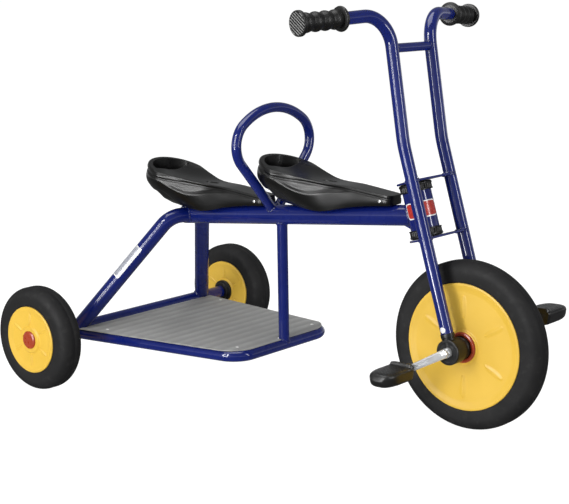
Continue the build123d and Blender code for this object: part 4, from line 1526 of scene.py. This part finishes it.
    def build_housing(self, side: Side) -> None:
        """Black bearing housing: a round block about the axle and a socket for the leg, with a plain mark."""
        place = self.layout
        radius, inner, outer = self.housing
        bore = self.housing_bore
        lip, floor = radius - 6, outer - 1.2
        hub = vec(place.front_x, 0.0, place.front_radius)
        block = rounded(
            [(bore, inner), (radius, inner), (radius, outer), (lip, outer), (lip, floor), (bore, floor)],
            [1.6, 1.6, 0.4, 0.4],
        )
        foot = place.steered(0, side.value * self.leg_half, 0)
        r, top = self.socket_radius, self.socket_top
        well = self.leg_radius + 0.1
        socket = rounded(
            [
                (0, 4), (r - 1, 4), (r - 1, top - 8), (r, top - 7),
                (r, top), (well, top), (well, top - 3), (0, top - 3),
            ],
            [0.5, 0.5, 0.5, 1.2, 0.3, 0.1],
        )
        name = f"hub_housing_{side.word}"
        shells = [lathe(block, hub, side.outward, 96, True), lathe(socket, foot, place.up, 72)]
        stand_in(name, "moulded", shells, SATIN_BLACK, "steering")
        span = (top + 2, top + 13)
        mark = sticker(foot, place.up, side.outward, self.leg_radius, (0, 26), span, 0.3, 1.0)
        make_piece(f"{name}_mark", [mark], BADGE_WHITE, "steering")

    def build_grip(self, side: Side) -> None:
        """Moulded grip: domed flange, soft waves as a cosine along it, and slanting ribs on its end disc."""
        start = self.bar_point(side, self.grip_start)
        way = unit(self.bar_point(side, self.grip_start + 1.0) - start)
        flange = rounded(self.grip_flange, [1.0, 3.0, 2.0, 1.5], 6)
        s = np.linspace(0.0, 1.0, 97)
        thin, swell = self.grip_radii
        first, length = self.grip_hold
        wave = (0.5 - 0.5 * np.cos(2 * self.grip_waves * np.pi * s)) ** 0.7
        hold = np.stack([thin + swell * wave, first + s * length], axis=1)
        rim = rounded(self.grip_rim, [1.2, 1.0, 1.2, 0.6, 0.6], 6)
        name = f"grip_{side.word}"
        skin = lathe(np.concatenate([[(0.0, 0.0)], flange, hold[1:-1], rim]), start, way, 160)
        stand_in(name, "moulded", [skin], GRIP_BLACK, "steering", 55.0)
        cross = np.cross(way, self.layout.up)
        over = math.cos(self.rib_slant) * self.layout.up - math.sin(self.rib_slant) * cross
        ribs = []
        for step in self.rib_pitch * np.arange(-4, 5):
            mid = start + self.rib_height * way + step * over
            reach = math.sqrt(self.rib_disc**2 - step**2) * unit(np.cross(way, over))
            ribs.append(rod(mid - reach, mid + reach, self.rib_radius, 16))
        # The ribs' pale grey is a painted highlight.
        make_piece(f"{name}_ribs", ribs, GRIP_RIB_HIGHLIGHT, "steering")


@dataclass
class Wheel:
    """Solid tyre on a yellow moulded centre, about an axle that runs across the tricycle."""

    centre: Vec
    radius: float
    width: float
    seat: float
    shoulder: float
    hub: float
    bore: float
    body: str
    tyre: str
    disc: str
    proud: float = 1.5
    lip: float = 3.5
    dish: float = 3.0
    petals: int = 6
    petal_turn: float = 30.0
    petal_span: tuple[float, float] = (0.45, 0.81)
    petal_half: float = 0.085
    petal_height: float = 2.1
    hub_ease: tuple[float, float] = (0.5, 2.0)
    lip_ease: tuple[float, float] = (14.0, 2.0)
    rim_ease: tuple[float, float, float] = (1.2, 3.0, 0.2)
    counts: tuple[int, int, int] = (8, 100, 320)

    def build(self) -> None:
        """Builds the tyre and the wheel centre."""
        self.build_tyre()
        self.build_disc()

    def build_tyre(self) -> None:
        """Tyre: a turned section with round shoulders, a flat tread and a fine mould line on its crown."""
        half, r, s = self.width / 2, self.radius, self.shoulder
        turn = np.linspace(0.0, np.pi / 2, 22)
        arc = np.stack([r - s + s * np.sin(turn), half - s + s * np.cos(turn)], axis=1)
        wall = np.array(
            [(self.seat + 0.3, half - 3.0), (self.seat + 0.7, half - 0.9), (self.seat + 2.6, half - 0.2)]
        )
        mould = np.array([(r, 1.2), (r - 0.35, 0.7), (r - 0.35, 0.0)])
        side = np.concatenate([wall, arc, mould])
        profile = np.concatenate([side, (side * vec(1, -1))[-2::-1]])
        shell = lathe(profile, self.centre, LEFTWARD, 160, closed=True)
        stand_in(self.tyre, "rubber", [shell], RUBBER, self.body, 40.0)

    def face_height(self, reach: Vec, angle: Vec) -> Vec:
        """Height of the wheel centre's face: raised hub and lip, a shallow dish and slender raised petals.

        A petal's half width grows with the distance from the hub and closes to a point at both ends; its
        height falls from a middle ridge to its edges.

        Args:
            reach: Distances from the axle.
            angle: Angles round it.

        Returns:
            Heights from the wheel's middle plane.
        """
        face = self.width / 2 + self.proud
        inner, outer = self.hub, self.seat - self.lip
        bowl = smooth_step(inner + self.hub_ease[0], inner + self.dish + self.hub_ease[1], reach)
        bowl = bowl * (1.0 - smooth_step(outer - self.lip_ease[0], outer + self.lip_ease[1], reach))
        first, last = (share * self.seat for share in self.petal_span)
        along = np.clip((reach - first) / (last - first), 0.0, 1.0)
        step = 2 * np.pi / self.petals
        off = np.abs((angle - math.radians(self.petal_turn) + step / 2) % step - step / 2) * reach
        leaf = np.sqrt(np.maximum(np.sin(np.pi * along**0.8), 0.0))
        half = self.petal_half * self.seat * leaf * (0.5 + 0.5 * along)
        petal = smooth_step(0.0, 1.0, 1.0 - off / np.maximum(half, 0.3)) * (along > 0.0) * (along < 1.0)
        drop, first, last = self.rim_ease
        edge = drop * smooth_step(self.seat - first, self.seat - last, reach) ** 2
        return face - self.dish * bowl + self.petal_height * petal - edge

    def build_disc(self) -> None:
        """Wheel centre: both faces as heights over rings and angles, closed by the rim and the bore."""
        hub_rings, face_rings, around = self.counts
        hub = np.linspace(self.bore, self.hub, hub_rings)[:-1]
        reach = np.concatenate([hub, np.linspace(self.hub, self.seat, face_rings)])
        angle = full_turn(around)
        left = self.face_height(reach[:, None], angle[None, :])
        rim = np.repeat([[self.width / 2 - 3.0], [-self.width / 2 + 3.0]], around, axis=1)
        rows = np.concatenate([reach, [self.seat, self.seat], reach[::-1]])
        across = np.concatenate([left, rim, -left[::-1]])
        ring = np.stack([np.cos(angle), 0 * angle, np.sin(angle)], axis=1)
        points = self.centre + rows[:, None, None] * ring + across[..., None] * LEFTWARD
        stand_in(self.disc, "moulded", [grid(points, True)], YELLOW, self.body, 48.0)


@dataclass
class FrontHub:
    """Front wheel with its red rings, black collars and the chrome crank axle."""

    layout: Layout
    face: float = 26.5
    ring: tuple[float, float] = (29.0, 4.5)
    collar: tuple[float, float] = (21.5, 20.0)
    bore: float = 9.1
    axle_radius: float = 9.0
    crank_taper: float = 0.26
    crank_length: float = 97.0
    crank_angle: float = 28.0
    crank_half: float = 8.5
    crank_span: tuple[float, float] = (80.5, 92.5)
    flute: tuple[float, float] = (3.4, 2.8)
    flute_span: tuple[float, float] = (0.36, 0.96)
    spindle: tuple[float, float] = (5.0, 163.0)
    pedal_span: tuple[float, float] = (94.5, 178.5)
    pedal_half: float = 29.0
    pedal_thick: float = 27.0
    pedal_lip: float = 5.0
    pedal_round: tuple[float, float] = (0.55, 0.45)
    pedal_powers: tuple[float, float] = (0.36, 0.30)
    pedal_plan: float = 2.6
    pedal_draw: float = 0.17

    @property
    def centre(self) -> Vec:
        """Middle of the front wheel."""
        return vec(self.layout.front_x, 0.0, self.layout.front_radius)

    def crank_end(self, side: Side) -> Vec:
        """Middle of a pedal's spindle, in the wheel's own plane."""
        turn = math.radians(self.crank_angle)
        return self.centre + side.value * self.crank_length * vec(math.cos(turn), 0.0, math.sin(turn))

    def build(self) -> None:
        """Builds the wheel, the hub's rings and collars, the cranks and the pedals."""
        Wheel(
            self.centre, radius=self.layout.front_radius, width=50.0, seat=120.0, shoulder=20.0,
            hub=self.ring[0], bore=self.bore, body="front_wheel", tyre="front_tyre", disc="front_disc",
        ).build()
        for side in Side:
            self.build_ring(side)
            self.build_pedal(side)
        self.build_crank()

    def build_ring(self, side: Side) -> None:
        """Red ring round the hub, its face rolled over, and the waisted black collar inside it."""
        radius, height = self.ring
        inner, reach = self.collar
        face = self.face
        ring = rounded(
            [
                (inner - 0.5, face - 1), (radius, face - 1), (radius, face + height - 1.6),
                (radius - 3, face + height), (inner + 1.2, face + height - 0.6), (inner - 0.5, face + 1),
            ],
            [0.4, 1.2, 1.6, 1.0], 6,
        )
        shell = lathe(ring, self.centre, side.outward, 120, True)
        stand_in(f"front_hub_ring_{side.word}", "moulded", [shell], RED, "front_wheel")
        collar = rounded(
            [
                (self.bore, face), (inner, face), (inner, face + 9), (inner - 1.2, face + 11),
                (inner - 1.2, face + reach - 3), (inner - 2.2, face + reach), (self.bore, face + reach),
            ],
            [0.3, 1.5, 1.5, 1.5, 0.6], 5,
        )
        shell = lathe(collar, self.centre, side.outward, 96, True)
        stand_in(f"front_hub_collar_{side.word}", "moulded", [shell], SATIN_BLACK, "front_wheel")

    def build_crank(self) -> None:
        """Chrome crank: shaft, two fluted arms with rounded ends, and the pedals' spindles.

        An arm is a row of stadium outlines, each with its own half length, half width, height and shift along
        the arm, from the middle line of its back to the floor of the flute in its face.
        """
        low, high = self.crank_span
        end = low + 2.0
        shaft = rounded([(0, -end), (self.axle_radius, -end), (self.axle_radius, end), (0, end)], 1.0)
        shells = [lathe(shaft, self.centre, LEFTWARD, 56)]
        half, wide = self.crank_length / 2, self.crank_half
        flute_wide, flute_deep = self.flute
        first, last = self.flute_span
        short = (last - first) * half - flute_wide
        shift = (first + last - 1.0) * half
        floor = high - flute_deep
        rows = np.array(
            [
                (half, 0.0, low, 0.0), (half, wide - 1.4, low, 0.0), (half, wide - 0.5, low + 0.4, 0.0),
                (half, wide, low + 1.6, 0.0), (half, wide, high - 2.6, 0.0),
                (half, wide - 0.8, high - 0.9, 0.0),
                (half, wide - 2.6, high, 0.0), (short + 0.6, flute_wide + 0.6, high, shift),
                (short, flute_wide, high - 0.5, shift), (short - 0.4, flute_wide - 0.6, floor, shift),
                (short - 0.4, 0.0, floor, shift),
            ]
        )
        turn = full_turn(80)
        for side in Side:
            way = unit(self.crank_end(side) - self.centre)
            cross = vec(-way[2], 0.0, way[0])
            mid = 0.5 * (self.centre + self.crank_end(side))
            along = rows[:, 3:] + np.sign(np.cos(turn)) * rows[:, :1] + rows[:, 1:2] * np.cos(turn)
            over = rows[:, 1:2] * np.sin(turn) * (1.0 - self.crank_taper * smooth_step(-half, half, along))
            lift = side.value * rows[:, 2, None, None] * LEFTWARD
            shells.append(grid(mid + along[..., None] * way + over[..., None] * cross + lift))
            radius, reach = self.spindle
            bar = rounded([(0, low), (radius, low), (radius, reach), (0, reach)], 0.8)
            shells.append(lathe(bar, self.crank_end(side), side.outward, 40))
        stand_in("crank_axle", "polished", shells, CHROME, "front_wheel")

    def build_pedal(self, side: Side) -> None:
        """Boat-shaped pedal: rounded-square sections along it, narrower below, with a raised inner lip.

        The half width follows a superellipse towards the outer end; each section is a superellipse, rounder
        towards that end, whose lower half is drawn in, and a smooth step lifts the top at the inner end.
        """
        inner, outer = self.pedal_span
        length = outer - inner
        s = np.concatenate([np.linspace(0.0, 0.22, 40), np.linspace(0.22, 1.0, 90)[1:]])[:, None]
        turn = full_turn(144)[None, :]
        first, run = self.pedal_round
        past = np.clip((s - first) / run, 0.0, 1.0)
        power = self.pedal_powers[0] + self.pedal_powers[1] * past
        c = np.sign(np.cos(turn)) * np.abs(np.cos(turn)) ** power
        z = np.sign(np.sin(turn)) * np.abs(np.sin(turn)) ** power
        taper = (1.0 - past**self.pedal_plan) ** (1 / self.pedal_plan)
        start = 1.0 - 0.10 * smooth_step(0.06, 0.0, s)
        wide = self.pedal_half * np.maximum(taper, 0.02) * start * (1.0 - self.pedal_draw * (0.5 - 0.5 * z))
        deep = self.pedal_thick / 2 * (1.0 - 0.08 * past**3) * np.maximum(1.0 - past**11, 0.03)
        lip = self.pedal_lip * (1.0 - smooth_step(0.085, 0.115, s)) * smooth_step(0.0, 0.012, s)
        lip = lip * smooth_step(0.0, 0.7, z) * (1.0 - smooth_step(0.74, 0.86, np.abs(c)))
        end = self.crank_end(side)
        left = side.value * (inner + s * length) + 0 * c
        shell = np.stack(np.broadcast_arrays(end[0] + wide * c, left, end[2] + deep * z + lip), axis=-1)
        ends = shell[[0, -1]].mean(axis=1, keepdims=True)
        first, last = np.repeat(ends, shell.shape[1], axis=1)[:, None]
        name = f"pedal_{side.word}"
        stand_in(name, "moulded", [grid(np.concatenate([first, shell, last]))], PEDAL_BLACK, name, 50.0)


@dataclass
class RearWheels:
    """The two rear wheels, each with a domed red cap outside and a stepped black collar inside."""

    layout: Layout
    half_track: float = 300.0
    face: float = 28.5
    cap: tuple[float, float] = (18.5, 5.0)
    flange: tuple[float, float] = (25.0, 6.0)
    step: tuple[float, float] = (19.5, 12.0)
    bore: float = 6.1

    def build(self) -> None:
        """Builds both wheels with their caps and collars."""
        for side in Side:
            centre = vec(self.layout.rear_x, side.value * self.half_track, self.layout.rear_radius)
            body = f"rear_wheel_{side.word}"
            Wheel(
                centre, radius=self.layout.rear_radius, width=54.0, seat=69.5, shoulder=19.0,
                hub=self.flange[0], bore=self.bore, body=body,
                tyre=f"rear_tyre_{side.word}", disc=f"rear_disc_{side.word}",
            ).build()
            self.build_cap(side, centre, body)
            self.build_collar(side, centre, body)

    def build_cap(self, side: Side, centre: Vec, body: str) -> None:
        """Domed red cap: a short wall, a rounded shoulder and a shallow cone to its middle."""
        radius, height = self.cap
        f = self.face
        profile = rounded(
            [
                (0, f - 1.0), (radius, f - 1.0), (radius, f + 2.2),
                (radius - 3.5, f + height - 0.6), (0, f + height),
            ],
            [0.4, 1.0, 3.0], 7,
        )
        stand_in(f"rear_cap_{side.word}", "moulded", [lathe(profile, centre, side.outward, 96)], RED, body)

    def build_collar(self, side: Side, centre: Vec, body: str) -> None:
        """Stepped black collar between the wheel and the axle tube."""
        radius, height = self.flange
        inner, reach = self.step
        f, step, end = self.face, self.face + height, self.face + reach
        profile = rounded(
            [(self.bore, f), (radius, f), (radius, step), (inner, step), (inner, end), (self.bore, end)],
            [0.4, 1.4, 0.8, 1.2], 5,
        )
        shell = lathe(profile, centre, -side.outward, 88, True)
        stand_in(f"rear_collar_{side.word}", "moulded", [shell], SATIN_BLACK, body)


@dataclass
class Studio:
    """Pale floor, soft studio light and the camera at the photograph's angle."""

    place: tuple[float, float, float] = (1.7899, -2.1889, 0.8192)
    azimuth: float = 39.85
    elevation: float = 10.56
    roll: float = -0.94
    lens: float = 90.06
    shift: float = -0.0016
    sensor: float = 36.0
    aim: tuple[float, float, float] = (0.0, 0.0, 0.35)
    floor_radius: float = 300000.0
    tones: tuple[tuple[float, float], ...] = (
        (0.0, 0.14), (1.0, 0.22), (0.470, 0.16), (0.488, 0.97), (0.520, 0.97), (0.580, 0.34), (0.750, 0.22),
    )

    def build(self) -> None:
        """Sets up the floor, the light and the camera."""
        self.build_floor()
        self.build_light()
        self.build_camera()

    def build_floor(self) -> None:
        """Round floor: a flat turned disc whose rings widen outwards."""
        reach = np.geomspace(100.0, self.floor_radius, 40)
        profile = np.stack([np.concatenate([[0.0], reach]), np.zeros(41)], axis=1)
        shell = lathe(profile, vec(0, 0, -0.2), vec(0, 0, 1), 96)
        mesh = bpy.data.meshes.new("studio_floor")
        mesh.from_pydata((shell.points * MM).tolist(), [], shell.faces[:, ::-1].tolist())
        mesh.validate()
        tree = Tree("pale_floor")
        patches = tree.span(tree.noise(400.0), *TONE_BAND)
        tone = tree.blend(patches, (0.20, 0.20, 0.20), (0.21, 0.21, 0.21))
        tree.join(tone, tree.shader.inputs["Base Color"])
        tree.shader.inputs["Roughness"].default_value = 0.9
        tree.shader.inputs["Specular IOR Level"].default_value = 0.0
        tree.shader.inputs["Emission Color"].default_value = (1.0, 1.0, 0.995, 1.0)
        tree.shader.inputs["Emission Strength"].default_value = 0.97
        mesh.materials.append(tree.material)
        floor = bpy.data.objects.new("studio_floor", mesh)
        floor.visible_glossy = False
        bpy.context.scene.collection.objects.link(floor)

    def build_light(self) -> None:
        """Surroundings pale at the horizon alone, a broad light overhead and soft lights to the sides.

        Each light says whether it lights surfaces and whether it shows as a highlight on them.
        """
        world = bpy.data.worlds.new("studio")
        world.use_nodes = True
        back = world.node_tree.nodes["Background"]
        back.inputs["Strength"].default_value = 1.0
        links = world.node_tree.links
        way = world.node_tree.nodes.new("ShaderNodeTexCoord")
        split = world.node_tree.nodes.new("ShaderNodeSeparateXYZ")
        share = world.node_tree.nodes.new("ShaderNodeMapRange")
        tones = world.node_tree.nodes.new("ShaderNodeValToRGB")
        share.inputs["From Min"].default_value = -1.0
        ramp = tones.color_ramp.elements
        for index, (spot, tone) in enumerate(self.tones):
            stop = ramp[index] if index < 2 else ramp.new(spot)
            stop.position, stop.color = spot, (tone * 0.97, tone * 0.985, tone, 1.0)
        links.new(way.outputs["Generated"], split.inputs["Vector"])
        links.new(split.outputs["Z"], share.inputs["Value"])
        links.new(share.outputs["Result"], tones.inputs["Fac"])
        links.new(tones.outputs["Color"], back.inputs["Color"])
        bpy.context.scene.world = world
        bpy.context.scene.view_settings.view_transform = "Standard"
        for name, at, size, power, spreads, shines in (
            ("overhead", (0.2, -0.5, 3.4), (3.0, 3.0), 52.0, True, False),
            ("overhead_sheen", (-0.3, -0.3, 3.2), (2.2, 2.6), 66.0, False, True),
            ("key", (-0.1, -3.3, 1.3), (0.9, 2.6), 85.0, True, False),
            ("key_line", (-0.1, -3.3, 1.3), (1.2, 3.0), 400.0, False, True),
            ("front", (3.4, 0.6, 1.6), (0.5, 2.6), 26.0, True, False),
            ("front_line", (3.4, 0.3, 1.4), (0.35, 2.8), 60.0, False, True),
            ("back", (-1.8, 2.8, 1.8), (0.7, 2.4), 30.0, True, False),
        ):
            light = bpy.data.lights.new(name, "AREA")
            light.shape = "RECTANGLE"
            light.size, light.size_y = size
            light.energy = power
            lamp = bpy.data.objects.new(name, light)
            toward = unit(vec(*self.aim) - vec(*at))
            across = unit(np.cross(toward, vec(0, 0, 1)))
            upward = np.cross(across, toward)
            lamp.matrix_world = Matrix(np.column_stack([across, upward, -toward]).tolist()).to_4x4()
            lamp.location = at
            lamp.visible_diffuse, lamp.visible_glossy = spreads, shines
            bpy.context.scene.collection.objects.link(lamp)

    def build_camera(self) -> None:
        """Camera at its measured place: its backward axis from azimuth and elevation, then a small roll."""
        a, e, r = (math.radians(v) for v in (self.azimuth, self.elevation, self.roll))
        back = vec(math.sin(a) * math.cos(e), -math.cos(a) * math.cos(e), math.sin(e))
        right = vec(math.cos(a), math.sin(a), 0.0)
        up = np.cross(back, right)
        rolled_right = right * math.cos(r) + up * math.sin(r)
        rolled_up = up * math.cos(r) - right * math.sin(r)
        axes = np.column_stack([rolled_right, rolled_up, back])
        data = bpy.data.cameras.new("photo_camera")
        data.sensor_fit = "HORIZONTAL"
        data.sensor_width = self.sensor
        data.lens = self.lens
        data.shift_x = self.shift
        camera = bpy.data.objects.new("photo_camera", data)
        camera.matrix_world = Matrix(axes.tolist()).to_4x4()
        camera.location = self.place
        bpy.context.scene.collection.objects.link(camera)
        bpy.context.scene.camera = camera


def main() -> None:
    """Builds the tricycle's sub-assemblies in order, then the studio."""
    logging.basicConfig(level=logging.INFO, format="%(name)s: %(message)s")
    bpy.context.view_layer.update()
    layout = Layout()
    Backbone(layout).build()
    Deck(layout).build()
    for name, x in (("front_seat", 80.0), ("rear_seat", -235.0)):
        Saddle(name, x, layout).build()
    steering = Steering(layout)
    steering.build()
    for side in Side:
        steering.build_grip(side)
    FrontHub(layout).build()
    RearWheels(layout).build()
    Studio().build()
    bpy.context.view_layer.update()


if __name__ == "__main__":
    main()
